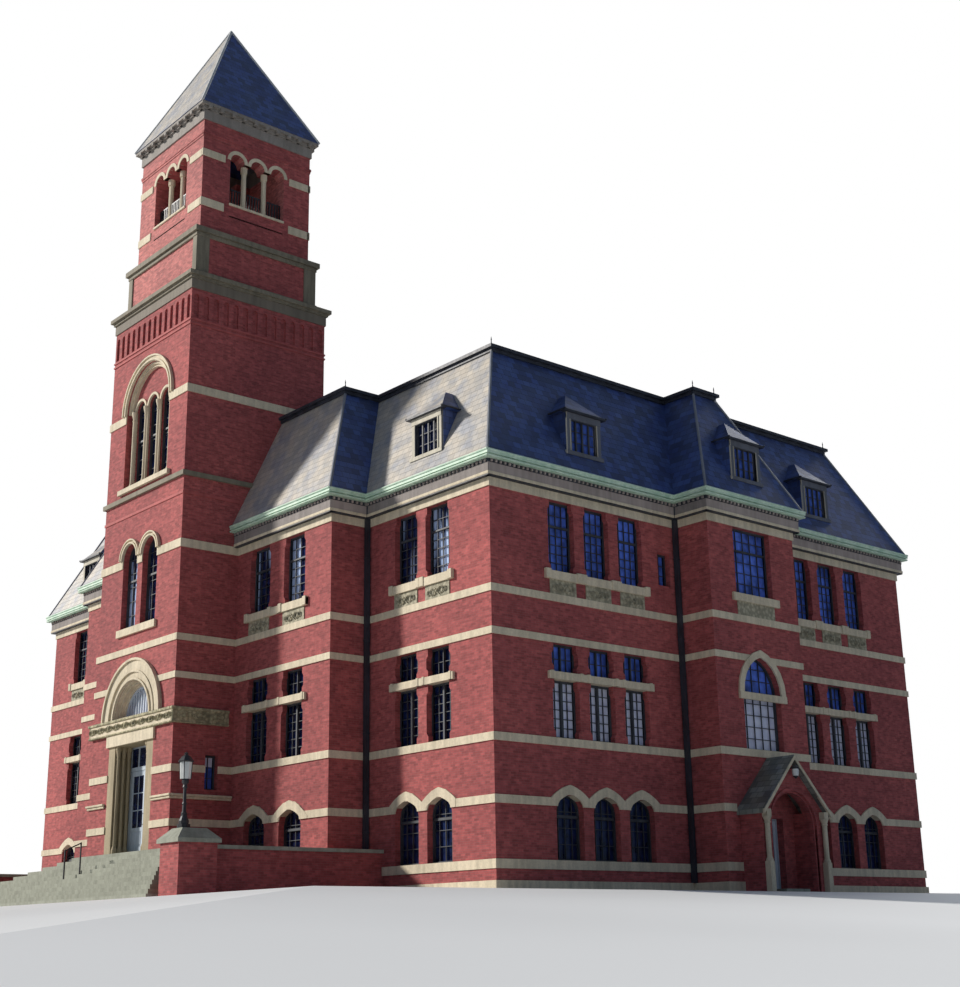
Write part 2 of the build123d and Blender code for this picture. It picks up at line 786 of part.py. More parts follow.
# Stone courses around the whole building
portal_clear = portal_half + 1
riser = door_sill / step_count
foot_half = tower_half + step_count * side_tread
low_wall_inner = foot_half + pier_gap + (pier_width - cheek_wall) / 2
low_wall_outer = low_wall_inner + cheek_wall
low_wall_cut = block(low_wall_inner, low_wall_outer, -200, 0, 0, cheek_height)
with BuildPart() as belt_courses:
    add(ring(plinth_foot, plinth_height, plinth_proud, tower=True))
    add(ring(base_course_bottom, ground_sill, course_proud, tower=True))
    add(ring(first_sill - sill_course, first_sill, course_proud, tower=True))
    add(ring(first_head, first_head + head_course, course_proud, tower=True))
    add(ring(apron_bottom - apron_course, apron_bottom, course_proud, tower=True))
    add(ring(second_head, frieze_bottom, course_proud, tower=True))
    add(
        block(-portal_clear, portal_clear, tower_face - 200, tower_face + 200, 0, door_head),
        mode=Mode.SUBTRACT,
    )
    add(
        block(-tower_half - 200, tower_half + 200, tower_face - 200, middle_face - plinth_proud,
              0, door_sill),
        mode=Mode.SUBTRACT,
    )
    add(both_sides(bay_arch_cut(200, grow=bay_surround)), mode=Mode.SUBTRACT)
    add(both_sides(low_wall_cut), mode=Mode.SUBTRACT)
    add(fanlight_cut(200, grow=portal_surround), mode=Mode.SUBTRACT)
    add([pair_cut(c, 200, grow=0) for c in (-pair_centre, pair_centre)], mode=Mode.SUBTRACT)
    add(tower_light_cut(200), mode=Mode.SUBTRACT)
    add(tower_light_cut(200).mirror(Plane.YZ), mode=Mode.SUBTRACT)
    right_door_cut = block(
        bay_face - 200, bay_face + 200, bay_centre - porch_half, bay_centre + porch_half,
        0, porch_eaves,
    )
    add(right_door_cut, mode=Mode.SUBTRACT)
belt_courses.part.label = "belt_courses"
export_step(belt_courses.part, "parts/belt_courses.step")

ground_windows_right = end_ground + middle_ground + wing_ground + rear_end_ground
ground_windows_once = rear_ground


def hood(window, grow, lift):
    """The stone hood that rises over a pointed window, above the course."""
    plane, centre, width = window
    return arch(
        plane, centre, width / 2, hood_bottom, hood_spring, ground_arch_rise, 0, grow, lift
    )


hood_windows = both_sides(*[hood(w, hood_course, course_proud) for w in ground_windows_right])
hood_windows += [hood(w, hood_course, course_proud) for w in ground_windows_once]
hood_windows += [hood(w, hood_course, course_proud).mirror(Plane.YZ) for w in bay_ground]
ground_holes = both_sides(*[ground_cut(w, 10) for w in ground_windows_right])
ground_holes += [ground_cut(w, 10) for w in ground_windows_once]
ground_holes += [ground_cut(w, 10).mirror(Plane.YZ) for w in bay_ground]
with BuildPart() as hood_courses:
    add(ring(hood_bottom, hood_bottom + hood_course, course_proud, tower=True))
    add(hood_windows)
    add(ground_holes, mode=Mode.SUBTRACT)
    add(
        block(-portal_clear, portal_clear, tower_face - 200, tower_face + 200, 0, door_head),
        mode=Mode.SUBTRACT,
    )
    add(
        block(bay_face - 200, bay_face + 200, bay_centre - porch_half - porch_overhang,
              bay_centre + porch_half + porch_overhang, 0, first_sill),
        mode=Mode.SUBTRACT,
    )
hood_courses.part.label = "hood_courses"
export_step(hood_courses.part, "parts/hood_courses.step")


# Sills, transoms and carved aprons
def sill_bar(plane, left, right, top, height):
    """A stone bar that stands out of a wall."""
    return panel(plane, left, right, top - height, top, 0, lift=sill_proud)


transom_top = first_head - 980
transom_height = 250
sill_groups = []
for plane, centres, width in (
    (front_end_plane, end_window_centres, end_window_width),
    (front_middle_plane, middle_window_centres, middle_window_width),
    (wing_plane, wing_window_centres, wing_window_width),
    (wing_plane, far_wing_centres, wing_window_width),
    (rear_end_plane, tuple(reversed(rear_end_places)), end_window_width),
):
    left = centres[0] - width / 2 - 210
    right = centres[-1] + width / 2 + 210
    sill_groups.append(sill_bar(plane, left, right, second_sill, sill_stone))
    sill_groups.append(sill_bar(plane, left, right, transom_top, transom_height))
bay_left = bay_centre - bay_window_width / 2 - 260
bay_right = bay_centre + bay_window_width / 2 + 260
sill_groups.append(sill_bar(bay_plane, bay_left, bay_right, second_sill, sill_stone))
sill_groups.append(sill_bar(bay_plane, bay_left, bay_right, bay_arch_spring, transom_height))
rear_sills = []
for centre in rear_middle_centres:
    left = centre - 2 * rear_pair - middle_window_width / 2 - 210
    right = centre + 2 * rear_pair + middle_window_width / 2 + 210
    rear_sills.append(sill_bar(rear_middle_plane, left, right, second_sill, sill_stone))
    rear_sills.append(sill_bar(rear_middle_plane, left, right, transom_top, transom_height))
with BuildPart() as window_sills:
    add(both_sides(*sill_groups))
    add(rear_sills)
window_sills.part.label = "window_sills"
export_step(window_sills.part, "parts/window_sills.step")

apron_lift = 30


def apron_panel(window):
    """The carved stone under a window of the top storey."""
    plane, centre, width, sill, _ = window
    return panel(
        plane, centre - width / 2, centre + width / 2, apron_bottom, sill - sill_stone, 0,
        lift=apron_lift,
    )


apron_windows = [w for w in end_rows + middle_rows + wing_rows + far_wing_rows + rear_end_rows
                 if w[3] == second_sill]
with BuildPart() as apron_panels:
    add(both_sides(*[apron_panel(w) for w in apron_windows + bay_row]))
    add([apron_panel(w) for w in rear_rows if w[3] == second_sill])
apron_panels.part.label = "apron_panels"
export_step(apron_panels.part, "parts/apron_panels.step")

bay_stone_lift = 70
with BuildPart() as bay_arches:
    add(bay_arch_cut(0, grow=bay_surround, lift=bay_stone_lift))
    add(bay_arch_cut(10, lift=bay_stone_lift + 10), mode=Mode.SUBTRACT)
    split_low = block(bay_face - 300, bay_face + 300, bay_start, bay_end, 0, bay_arch_spring)
    add(split_low, mode=Mode.SUBTRACT)
    mirror(about=Plane.YZ)
bay_arches.part.label = "bay_arches"
export_step(bay_arches.part, "parts/bay_arches.step")

# Glass of the windows; its bars are fine detail and aren't modelled here
def pane(window, depth=reveal):
    """The glass of a rectangular window."""
    plane, centre, width, sill, head = window
    return panel(plane.offset(-depth), centre - width / 2, centre + width / 2, sill, head,
                 glass_thickness)


def arched_pane(plane, centre, half, sill, spring, rise, depth=reveal):
    """The glass of an arched window."""
    return arch(plane.offset(-depth), centre, half, sill, spring, rise, glass_thickness)


def ground_pane(window):
    """The glass of a pointed ground storey window."""
    plane, centre, width = window
    return arched_pane(plane, centre, width / 2, ground_sill, hood_spring, ground_arch_rise)


tower_light = (
    tower_side_plane, tower_light_centre, tower_light_width, tower_light_sill, tower_light_head
)
rows = end_rows + middle_rows + wing_rows + far_wing_rows + rear_end_rows + bay_row + stair_lights
panes = both_sides(*[pane(window) for window in rows + [tower_light]])
panes += both_sides(*[ground_pane(window) for window in ground_windows_right])
panes += both_sides(
    arched_pane(bay_plane, bay_centre, bay_arch_half, first_sill, bay_arch_spring, bay_arch_rise)
)
panes += [pane(window) for window in rear_rows]
panes += [ground_pane(window) for window in ground_windows_once]
panes += [ground_pane(window).mirror(Plane.YZ) for window in bay_ground]
for place in (-pair_centre, pair_centre):
    half = pair_width / 2
    panes.append(arched_pane(tower_front_plane, place, half, second_sill, frieze_bottom, half))
fanlight_depth = 500
panes.append(
    arched_pane(tower_front_plane, 0, fanlight_half, portal_spring, portal_spring,
                fanlight_half, fanlight_depth)
)
for place in lancet_centres:
    half = lancet_width / 2
    panes.append(
        arched_pane(tower_front_plane, place, half, lancet_sill, lancet_sill + lancet_height,
                    half, lancet_recess + 200)
    )


# Rainwater pipes in the corners beside the middle front and the side bays
def pipe(x, y, side):
    """A square pipe in an inner corner of the plan, standing off by the stone courses."""
    near = course_proud
    far = course_proud + pipe_size
    return block(x + near, x + far, y + side * near, y + side * far, plinth_height, wall_top)


pipes = [pipe(middle_edge, 0, -1), pipe(end_edge, bay_start, -1), pipe(end_edge, bay_end, 1),
         pipe(middle_edge, rear_face, 1)]
with BuildPart() as rain_pipes:
    add(both_sides(*pipes))
rain_pipes.part.label = "rain_pipes"
export_step(rain_pipes.part, "parts/rain_pipes.step")

# Eaves: a plain stone frieze, a moulding and a copper gutter
tower_bulk = block(-tower_half, tower_half, tower_face, tower_rear, 0, tower_shaft_height)
with BuildPart() as eaves_cornice:
    add(ring(frieze_bottom, frieze_bottom + 170, 150))
    add(ring(frieze_bottom + 170, frieze_bottom + 400, 70))
    add(ring(frieze_bottom + 400, wall_top, 220))
    add(tower_bulk, mode=Mode.SUBTRACT)
    add(rain_pipes.part, mode=Mode.SUBTRACT)
eaves_cornice.part.label = "eaves_cornice"
export_step(eaves_cornice.part, "parts/eaves_cornice.step")

with BuildPart() as eaves_gutter:
    add(ring(wall_top, wall_top + 110, gutter_overhang - 90))
    add(ring(wall_top + 110, roof_foot, gutter_overhang))
    add(tower_bulk, mode=Mode.SUBTRACT)
eaves_gutter.part.label = "eaves_gutter"
export_step(eaves_gutter.part, "parts/eaves_gutter.step")


# Mansard slopes: one flat panel for each wall of the plan, mitred at the corners
def slope_panel(index, cut_x=None):
    """The slope over one side of the plan, from one corner to the next."""
    corners = []
    for height, inset in ((roof_foot, -eaves_overhang), (roof_top, mansard_inset)):
        for line in (outline(inset), outline(inset + roof_thickness)):
            for x, y in (line[index], line[(index + 1) % len(line)]):
                corners.append((x if cut_x is None else max(x, cut_x), y, height))
    with BuildPart() as slope:
        ConvexPolyhedron(corners)
    return slope.part


# Sides of the plan in order: 0 middle return, 1 end, 2 wing, 3 bay return, 4 bay,
# 5 bay return, 6 wing, 7 rear end, 8 rear return, 9 rear middle, 19 front middle
front_middle_slope = slope_panel(19, cut_x=tower_half)
end_slope = slope_panel(1)
wing_slope = slope_panel(2)
bay_slope = slope_panel(4)
far_wing_slope = slope_panel(6)
rear_end_slope = slope_panel(7)
rear_middle_slope = slope_panel(9)

# Dormers
dormer_width = 1700
dormer_window = 1260
dormer_frame = 150
dormer_rise_from_foot = 867
dormer_light_height = 1200
dormer_head_board = 250
dormer_roof_height = 1050
dormer_glass_sill = roof_foot + dormer_rise_from_foot
dormer_glass_head = dormer_glass_sill + dormer_light_height
dormer_sill = dormer_glass_sill - dormer_frame
dormer_eaves = dormer_glass_head + dormer_head_board
dormer_set_back = 50
dormer_wall = 150
dormer_overhang = 180
dormer_peak = dormer_eaves + dormer_roof_height
dormer_depth = 1700
dormer_places = [
    (front_end_plane, middle_edge + end_width / 2 + 60, "end"),
    (wing_plane, wing_depth / 2, "wing"),
    (bay_plane, bay_centre, "bay"),
    (wing_plane, 17900, "far_wing"),
    (rear_end_plane, -(middle_edge + end_width / 2), "rear_end"),
]
slopes = {
    "end": end_slope,
    "wing": wing_slope,
    "bay": bay_slope,
    "far_wing": far_wing_slope,
    "rear_end": rear_end_slope,
}
dormer_bodies_list = []
dormer_roofs_list = []


def hip_corners(face, place, half, front, peak):
    """The corners of a hipped dormer roof whose eaves stand at front."""
    corners = []
    for depth in (front, -dormer_depth):
        corners.append(face.from_local_coords((place - half, dormer_eaves, depth)))
        corners.append(face.from_local_coords((place + half, dormer_eaves, depth)))
    corners.append(face.from_local_coords((place, peak, front - half)))
    corners.append(face.from_local_coords((place, peak, -dormer_depth)))
    return corners


for plane, place, name in dormer_places:
    face = plane.offset(-dormer_set_back)
    half = dormer_width / 2
    hole = panel(face, place - half + dormer_wall, place + half - dormer_wall,
                 dormer_sill + dormer_wall, dormer_eaves, dormer_depth, lift=300)
    slopes[name] = slopes[name] - hole
    body = panel(face, place - half, place + half, dormer_sill, dormer_eaves, dormer_depth)
    inside = panel(face.offset(-dormer_frame), place - half + dormer_wall,
                   place + half - dormer_wall, dormer_sill + dormer_wall, dormer_eaves,
                   dormer_depth)
    light = panel(face, place - dormer_window / 2, place + dormer_window / 2,
                  dormer_glass_sill, dormer_glass_head, dormer_frame, lift=20)
    behind = behind_slope(plane, place - 2000, place + 2000)
    dormer_bodies_list.append(body - behind - inside - light)
    eave = half + dormer_overhang
    room = half - dormer_wall
    room_height = (dormer_peak - dormer_eaves) * room / eave
    with BuildPart() as dormer_roof:
        ConvexPolyhedron(hip_corners(face, place, eave, dormer_overhang, dormer_peak))
        ConvexPolyhedron(
            hip_corners(face, place, room, -dormer_frame, dormer_eaves + room_height),
            mode=Mode.SUBTRACT,
        )
        add(behind, mode=Mode.SUBTRACT)
    dormer_roofs_list.append(dormer_roof.part)
    window = (face, place, dormer_window, dormer_glass_sill, dormer_glass_head)
    panes += both_sides(pane(window, dormer_frame - glass_thickness))

with BuildPart() as dormer_bodies:
    add(both_sides(*dormer_bodies_list))
dormer_bodies.part.label = "dormer_bodies"
export_step(dormer_bodies.part, "parts/dormer_bodies.step")

with BuildPart() as dormer_roofs:
    add(both_sides(*dormer_roofs_list))
dormer_roofs.part.label = "dormer_roofs"
export_step(dormer_roofs.part, "parts/dormer_roofs.step")

with BuildPart() as roof_front_and_rear:
    add(both_sides(front_middle_slope, slopes["end"], slopes["rear_end"]))
    add(rear_middle_slope)
roof_front_and_rear.part.label = "roof_front_and_rear"
export_step(roof_front_and_rear.part, "parts/roof_front_and_rear.step")

with BuildPart() as roof_sides:
    add(both_sides(slopes["wing"], slopes["bay"], slopes["far_wing"]))
roof_sides.part.label = "roof_sides"
export_step(roof_sides.part, "parts/roof_sides.step")

with BuildPart() as roof_returns:
    add(both_sides(slope_panel(0), slope_panel(3), slope_panel(5), slope_panel(8)))
roof_returns.part.label = "roof_returns"
export_step(roof_returns.part, "parts/roof_returns.step")

deck_inset = mansard_inset + roof_thickness
with BuildPart() as roof_deck:
    with BuildSketch(Plane.XY.offset(roof_top - 200)):
        with BuildLine():
            Polyline(*outline(deck_inset), close=True)
        make_face()
    extrude(amount=200)
    add(tower_bulk, mode=Mode.SUBTRACT)
roof_deck.part.label = "roof_deck"
export_step(roof_deck.part, "parts/roof_deck.step")

with BuildPart() as roof_curb:
    add(ring(roof_top, roof_top + 130, -mansard_inset + 60, inset=deck_inset + 100))
    add(ring(roof_top + 130, roof_top + curb_height, -mansard_inset + 160, inset=deck_inset + 100))
    add(tower_bulk, mode=Mode.SUBTRACT)
roof_curb.part.label = "roof_curb"
export_step(roof_curb.part, "parts/roof_curb.step")

# Floors of the main block and of the tower
floor_levels = (side_door_sill, first_sill - 870, second_sill - 1000, second_head + 400)
with BuildPart() as floors:
    for level in floor_levels:
        depth = min(floor_thickness, level)
        with BuildSketch(Plane.XY.offset(level - depth)):
            with BuildLine():
                Polyline(*outline(wall), close=True)
            make_face()
        extrude(amount=depth)
    add(tower_bulk, mode=Mode.SUBTRACT)
floors.part.label = "floors"
export_step(floors.part, "parts/floors.step")

tower_inner = tower_half - tower_wall
tower_floor_levels = (side_door_sill, door_sill, second_sill - 1000, lancet_sill - 900)
with BuildPart() as tower_floors:
    for level in tower_floor_levels:
        depth = min(floor_thickness, level)
        with BuildSketch(Plane.XY.offset(level - depth)):
            with Locations((0, tower_middle)):
                Rectangle(2 * tower_inner, 2 * tower_inner)
        extrude(amount=depth)
    with BuildSketch(Plane.XY.offset(belfry_sill - 900)):
        with Locations((0, tower_middle)):
            Rectangle(2 * (belfry_half - belfry_wall), 2 * (belfry_half - belfry_wall))
            with GridLocations(2 * pier_middle, 2 * pier_middle, 2, 2):
                Rectangle(belfry_pier, belfry_pier, mode=Mode.SUBTRACT)
    extrude(amount=floor_thickness)
tower_floors.part.label = "tower_floors"
export_step(tower_floors.part, "parts/tower_floors.step")

# Entrance steps
with BuildPart() as front_steps:
    for i in range(step_count):
        half = foot_half - i * side_tread
        front = tower_face - (step_count - i) * step_tread
        add(block(-half, half, front, tower_face, i * riser, (i + 1) * riser))
front_steps.part.label = "front_steps"
export_step(front_steps.part, "parts/front_steps.step")

with BuildPart() as side_steps:
    for i in range(step_count):
        half = foot_half - i * side_tread
        add(block(tower_half, half, tower_face, middle_face, i * riser, (i + 1) * riser))
    add(belt_courses.part, mode=Mode.SUBTRACT)
    mirror(about=Plane.YZ)
side_steps.part.label = "side_steps"
export_step(side_steps.part, "parts/side_steps.step")

# Cheek walls beside the steps: a pier with a weathered cap and a low wall back to the front
pier_front = tower_face - step_count * step_tread + pier_set_back
pier_back = pier_front + pier_depth
pier_inner = foot_half + pier_gap
pier_outer = pier_inner + pier_width
with BuildPart() as cheek_walls:
    add(block(pier_inner, pier_outer, pier_front, pier_back, 0, pier_height))
    add(block(low_wall_inner, low_wall_outer, pier_back, 0, 0, cheek_height))
    mirror(about=Plane.YZ)
cheek_walls.part.label = "cheek_walls"
export_step(cheek_walls.part, "parts/cheek_walls.step")

cap_out = 90
cap_top = pier_height + pier_cap_height
cap_points = []
for x in (pier_inner - cap_out, pier_outer + cap_out):
    for y in (pier_front - cap_out, pier_back + cap_out):
        cap_points.append((x, y, pier_height))
        cap_points.append((x, y, pier_height + coping))
for x in (pier_inner + 250, pier_outer - 250):
    for y in (pier_front + 250, pier_back - 250):
        cap_points.append((x, y, cap_top))
with BuildPart() as cheek_copings:
    ConvexPolyhedron(cap_points)
    add(block(low_wall_inner - 60, low_wall_outer + 60, pier_back, 0,
              cheek_height, cheek_height + coping))
    mirror(about=Plane.YZ)
cheek_copings.part.label = "cheek_copings"
export_step(cheek_copings.part, "parts/cheek_copings.step")

# Cast iron lamp standards on the piers and a short handrail on the steps
lamp_x = (pier_inner + pier_outer) / 2
lamp_y = pier_front + lamp_set_back
lantern_bottom = 1500
lantern_top = 2020
lamp_pieces = [
    (210, 0, 120),
    (100, 120, 420),
    (50, 420, lantern_bottom - 120),
    (110, lantern_bottom - 120, lantern_bottom),
    (165, lantern_bottom, lantern_top),
    (230, lantern_top, lantern_top + 60),
    (130, lantern_top + 60, lantern_top + 180),
    (40, lantern_top + 180, lantern_top + 300),
]
lamp = prism(8, lamp_pieces, (lamp_x, lamp_y, cap_top))


def tread_height(y):
    """How high the front steps are at a place along Y."""
    return (step_count - int((tower_face - y) / step_tread)) * riser


with BuildPart() as handrail:
    half = rail_width / 2
    rail_ends = []
    for place in (rail_place, rail_place + rail_post_gap):
        top = door_sill - (tower_face - place) * riser / step_tread + rail_height + riser
        add(block(-half, half, place - half, place + half, tread_height(place), top))
        rail_ends += [(x, place, z) for x in (-half, half) for z in (top - rail_width, top)]
    ConvexPolyhedron(rail_ends)
with BuildPart() as ironwork:
    add(both_sides(lamp))
    add(handrail.part)
ironwork.part.label = "ironwork"
export_step(ironwork.part, "parts/ironwork.step")

# Side porch
porch_face = bay_face + porch_projection
porch_inner = porch_half - porch_wall
porch_plane = Plane(origin=(porch_face, 0, 0), x_dir=(0, 1, 0), z_dir=(1, 0, 0))
with BuildPart() as porch_walls:
    for side in (-1, 1):
        near = bay_centre + side * porch_inner
        far = bay_centre + side * porch_half
        add(block(bay_face, porch_face, near, far, 0, porch_eaves))
porch_walls.part.label = "porch_walls"
export_step(porch_walls.part, "parts/porch_walls.step")

with BuildPart() as porch_gable:
    with BuildSketch(porch_plane):
        with BuildLine():
            Polyline(
                (bay_centre - porch_inner, porch_spring), (bay_centre + porch_inner, porch_spring),
                (bay_centre + porch_inner, porch_eaves), (bay_centre + porch_half, porch_eaves),
                (bay_centre, porch_eaves + porch_rise), (bay_centre - porch_half, porch_eaves),
                (bay_centre - porch_inner, porch_eaves), close=True,
            )
        make_face()
    extrude(amount=-porch_wall)
    add(
        arch(porch_plane, bay_centre, porch_inner, 0, porch_spring, porch_inner,
             porch_wall, lift=50),
        mode=Mode.SUBTRACT,
    )
porch_gable.part.label = "porch_gable"
export_step(porch_gable.part, "parts/porch_gable.step")

pitch = porch_rise / porch_half
drop = porch_overhang * pitch
thick = porch_roof_thickness * sqrt(1 + pitch**2)
with BuildPart() as porch_roof:
    with BuildSketch(porch_plane.offset(porch_front_overhang)):
        with BuildLine():
            outer_half = porch_half + porch_overhang
            ridge = porch_eaves + porch_rise
            Polyline(
                (bay_centre - outer_half, porch_eaves - drop),
                (bay_centre, ridge),
                (bay_centre + outer_half, porch_eaves - drop),
                (bay_centre + outer_half, porch_eaves - drop + thick),
                (bay_centre, ridge + thick),
                (bay_centre - outer_half, porch_eaves - drop + thick),
                close=True,
            )
        make_face()
    extrude(amount=-porch_projection - porch_front_overhang)
porch_roof.part.label = "porch_roof"
export_step(porch_roof.part, "parts/porch_roof.step")

post_size = 230
with BuildPart() as porch_columns:
    for side in (-1, 1):
        near = bay_centre + side * (porch_half - post_size)
        far = bay_centre + side * porch_half
        low = porch_eaves - 260
        add(block(porch_face, porch_face + post_size, near, far, 0, porch_plinth))
        add(block(porch_face, porch_face + post_size, near, far, low, porch_eaves))
        add(prism(12, [(post_size * 0.4, porch_plinth, low)],
                  (porch_face + post_size / 2, (near + far) / 2, 0)))
porch_columns.part.label = "porch_columns"
export_step(porch_columns.part, "parts/porch_columns.step")

# Front doors: a wooden frame with a transom light and two leaves that swing in
leaf_top = door_sill + door_leaf_height
frame_half = door_leaf + door_frame
light_low = leaf_top + transom_bar
light_high = door_head - door_frame
frame_plane = tower_front_plane.offset(-jamb_depth)
with BuildPart() as front_frame:
    with BuildSketch(frame_plane):
        with Locations((0, (door_sill + door_head) / 2)):
            Rectangle(2 * frame_half, door_height)
        with Locations((0, (door_sill + leaf_top) / 2)):
            Rectangle(2 * door_leaf, door_leaf_height, mode=Mode.SUBTRACT)
        with Locations((0, (light_low + light_high) / 2)):
            Rectangle(2 * door_leaf, light_high - light_low, mode=Mode.SUBTRACT)
    extrude(amount=-door_frame_depth)

panes.append(panel(frame_plane.offset(-40), -door_leaf, door_leaf, light_low, light_high,
                   glass_thickness))


heel = door_thickness / 2


def upright(spot, radius, bottom, top):
    """A round upright bar over a spot on the plan."""
    with BuildPart() as bar:
        with Locations((spot.X, spot.Y, bottom)):
            Cylinder(radius, top - bottom, align=(Align.CENTER, Align.CENTER, Align.MIN))
    return bar.part


def leaf(left, right, bottom, top, plane, glass_from, stile, heel_side):
    """A framed door leaf with a tall glass hole; its rounded heel turns on two pins."""
    start, end = (left, right - heel) if heel_side > 0 else (left + heel, right)
    spot = heel_spot(left, right, plane, heel_side)
    bore = pin_radius + pin_clearance
    with BuildPart() as body:
        with BuildSketch(plane):
            with Locations(((start + end) / 2, (bottom + top) / 2)):
                Rectangle(end - start, top - bottom)
            with Locations(((left + right) / 2, (glass_from + top - stile) / 2)):
                Rectangle(right - left - 2 * stile, top - stile - glass_from, mode=Mode.SUBTRACT)
        extrude(amount=-door_thickness)
        with BuildSketch(plane.offset(-door_thickness / 2 + glass_thickness / 2)):
            with Locations(((left + right) / 2, (glass_from + top - stile) / 2)):
                Rectangle(right - left - 2 * stile, top - stile - glass_from)
        extrude(amount=-glass_thickness)
        add(prism(12, [(heel, bottom, top)], (spot.X, spot.Y, 0)))
        add(upright(spot, bore, bottom, bottom + pin_length), mode=Mode.SUBTRACT)
        add(upright(spot, bore, top - pin_length, top), mode=Mode.SUBTRACT)
    return body.part


def heel_spot(left, right, plane, heel_side):
    """The place on the plan that a leaf turns about."""
    place = right - heel if heel_side > 0 else left + heel
    return plane.from_local_coords((place, 0, -heel))


def pins(spot, bottom, top):
    """The two pins that carry a leaf, on the threshold and under the head."""
    reach = pin_length - pin_clearance
    return [
        upright(spot, pin_radius, bottom - door_gap, bottom + reach),
        upright(spot, pin_radius, top - reach, top + door_gap),
    ]


leaf_plane = frame_plane.offset(-leaf_set_back)
door_stile = 190
leaf_glass_from = door_sill + 1000
leaf_bottom = door_sill + door_gap
right_leaf_size = (door_gap, door_leaf - door_gap)
left_leaf_size = (-door_leaf + door_gap, -door_gap)
with BuildPart() as front_door_right:
    add(leaf(*right_leaf_size, leaf_bottom, leaf_top - door_gap, leaf_plane,
             leaf_glass_from, door_stile, 1))
front_door_right.part.label = "front_door_right"
export_step(front_door_right.part, "parts/front_door_right.step")

with BuildPart() as front_door_left:
    add(leaf(*left_leaf_size, leaf_bottom, leaf_top - door_gap, leaf_plane,
             leaf_glass_from, door_stile, -1))
front_door_left.part.label = "front_door_left"
export_step(front_door_left.part, "parts/front_door_left.step")

with BuildPart() as front_door_frame:
    add(front_frame.part)
    for size, side in ((right_leaf_size, 1), (left_leaf_size, -1)):
        add(pins(heel_spot(*size, leaf_plane, side), leaf_bottom, leaf_top - door_gap))
front_door_frame.part.label = "front_door_frame"
export_step(front_door_frame.part, "parts/front_door_frame.step")

# Side door in the porch
side_frame_plane = bay_plane.offset(-side_door_depth + leaf_set_back)
side_leaf_plane = side_frame_plane.offset(-leaf_set_back)
side_leaf_half = side_door_half - side_door_frame
side_leaf_top = side_door_top - side_door_frame
side_leaf_size = (bay_centre - side_leaf_half + door_gap, bay_centre + side_leaf_half - door_gap)
side_leaf_bottom = side_door_sill + door_gap
side_spot = heel_spot(*side_leaf_size, side_leaf_plane, 1)
with BuildPart() as side_door_frame_piece:
    with BuildSketch(side_frame_plane):
        with Locations((bay_centre, (side_door_sill + side_door_top) / 2)):
            Rectangle(side_door_width, side_door_height)
        with Locations((bay_centre, (side_door_sill + side_leaf_top) / 2)):
            Rectangle(2 * side_leaf_half, side_leaf_top - side_door_sill, mode=Mode.SUBTRACT)
    extrude(amount=-door_frame_depth)
    add(pins(side_spot, side_leaf_bottom, side_leaf_top - door_gap))
side_door_frame_piece.part.label = "side_door_frame"
export_step(side_door_frame_piece.part, "parts/side_door_frame.step")

with BuildPart() as side_door:
    add(leaf(*side_leaf_size, side_leaf_bottom, side_leaf_top - door_gap, side_leaf_plane,
             side_door_sill + 950, 150, 1))
side_door.part.label = "side_door"
export_step(side_door.part, "parts/side_door.step")

# Thresholds of both doorways
with BuildPart() as door_thresholds:
    add(panel(tower_front_plane, -portal_half, portal_half, 0, door_sill, tower_wall))
    add(block(bay_face - wall, porch_face, bay_centre - side_door_half,
              bay_centre + side_door_half, 0, side_door_sill))
door_thresholds.part.label = "door_thresholds"
export_step(door_thresholds.part, "parts/door_thresholds.step")

# Glass of all the windows
with BuildPart() as window_glass:
    add(panes)
window_glass.part.label = "window_glass"
export_step(window_glass.part, "parts/window_glass.step")
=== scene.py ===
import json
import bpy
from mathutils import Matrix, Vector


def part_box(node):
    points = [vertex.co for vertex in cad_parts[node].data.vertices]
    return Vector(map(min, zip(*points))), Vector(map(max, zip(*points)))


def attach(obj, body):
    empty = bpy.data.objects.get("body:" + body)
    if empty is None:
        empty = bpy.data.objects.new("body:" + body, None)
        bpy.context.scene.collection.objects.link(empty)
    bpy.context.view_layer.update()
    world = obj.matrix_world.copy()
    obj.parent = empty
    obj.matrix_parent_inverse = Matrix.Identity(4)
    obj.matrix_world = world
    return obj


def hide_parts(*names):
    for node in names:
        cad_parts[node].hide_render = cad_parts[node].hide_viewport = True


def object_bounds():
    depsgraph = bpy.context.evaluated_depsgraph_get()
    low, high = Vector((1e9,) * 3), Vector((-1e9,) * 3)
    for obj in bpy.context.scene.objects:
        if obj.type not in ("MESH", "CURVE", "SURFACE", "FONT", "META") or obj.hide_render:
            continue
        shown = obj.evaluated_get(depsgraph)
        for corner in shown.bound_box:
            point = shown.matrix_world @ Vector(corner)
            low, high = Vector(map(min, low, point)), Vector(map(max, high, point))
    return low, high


bl_info = {
    "name": "Town hall dressing",
    "version": (1, 0, 0),
    "blender": (4, 5, 0),
    "location": "View3D > Sidebar > Town Hall",
    "description": "Adds the fine pieces and the finishes of a brick town hall",
    "category": "Object",
}

from math import acos, asin, cos, hypot, pi, radians, sin

import bpy
from mathutils import Matrix, Vector

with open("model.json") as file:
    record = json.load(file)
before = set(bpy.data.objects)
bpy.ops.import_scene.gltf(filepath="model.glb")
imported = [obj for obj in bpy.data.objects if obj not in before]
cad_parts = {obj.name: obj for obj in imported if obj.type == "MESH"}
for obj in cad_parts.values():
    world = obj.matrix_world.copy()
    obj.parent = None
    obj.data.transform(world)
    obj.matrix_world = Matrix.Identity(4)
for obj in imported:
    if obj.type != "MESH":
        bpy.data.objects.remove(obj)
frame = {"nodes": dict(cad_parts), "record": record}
nodes = frame["nodes"]
cad_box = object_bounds()

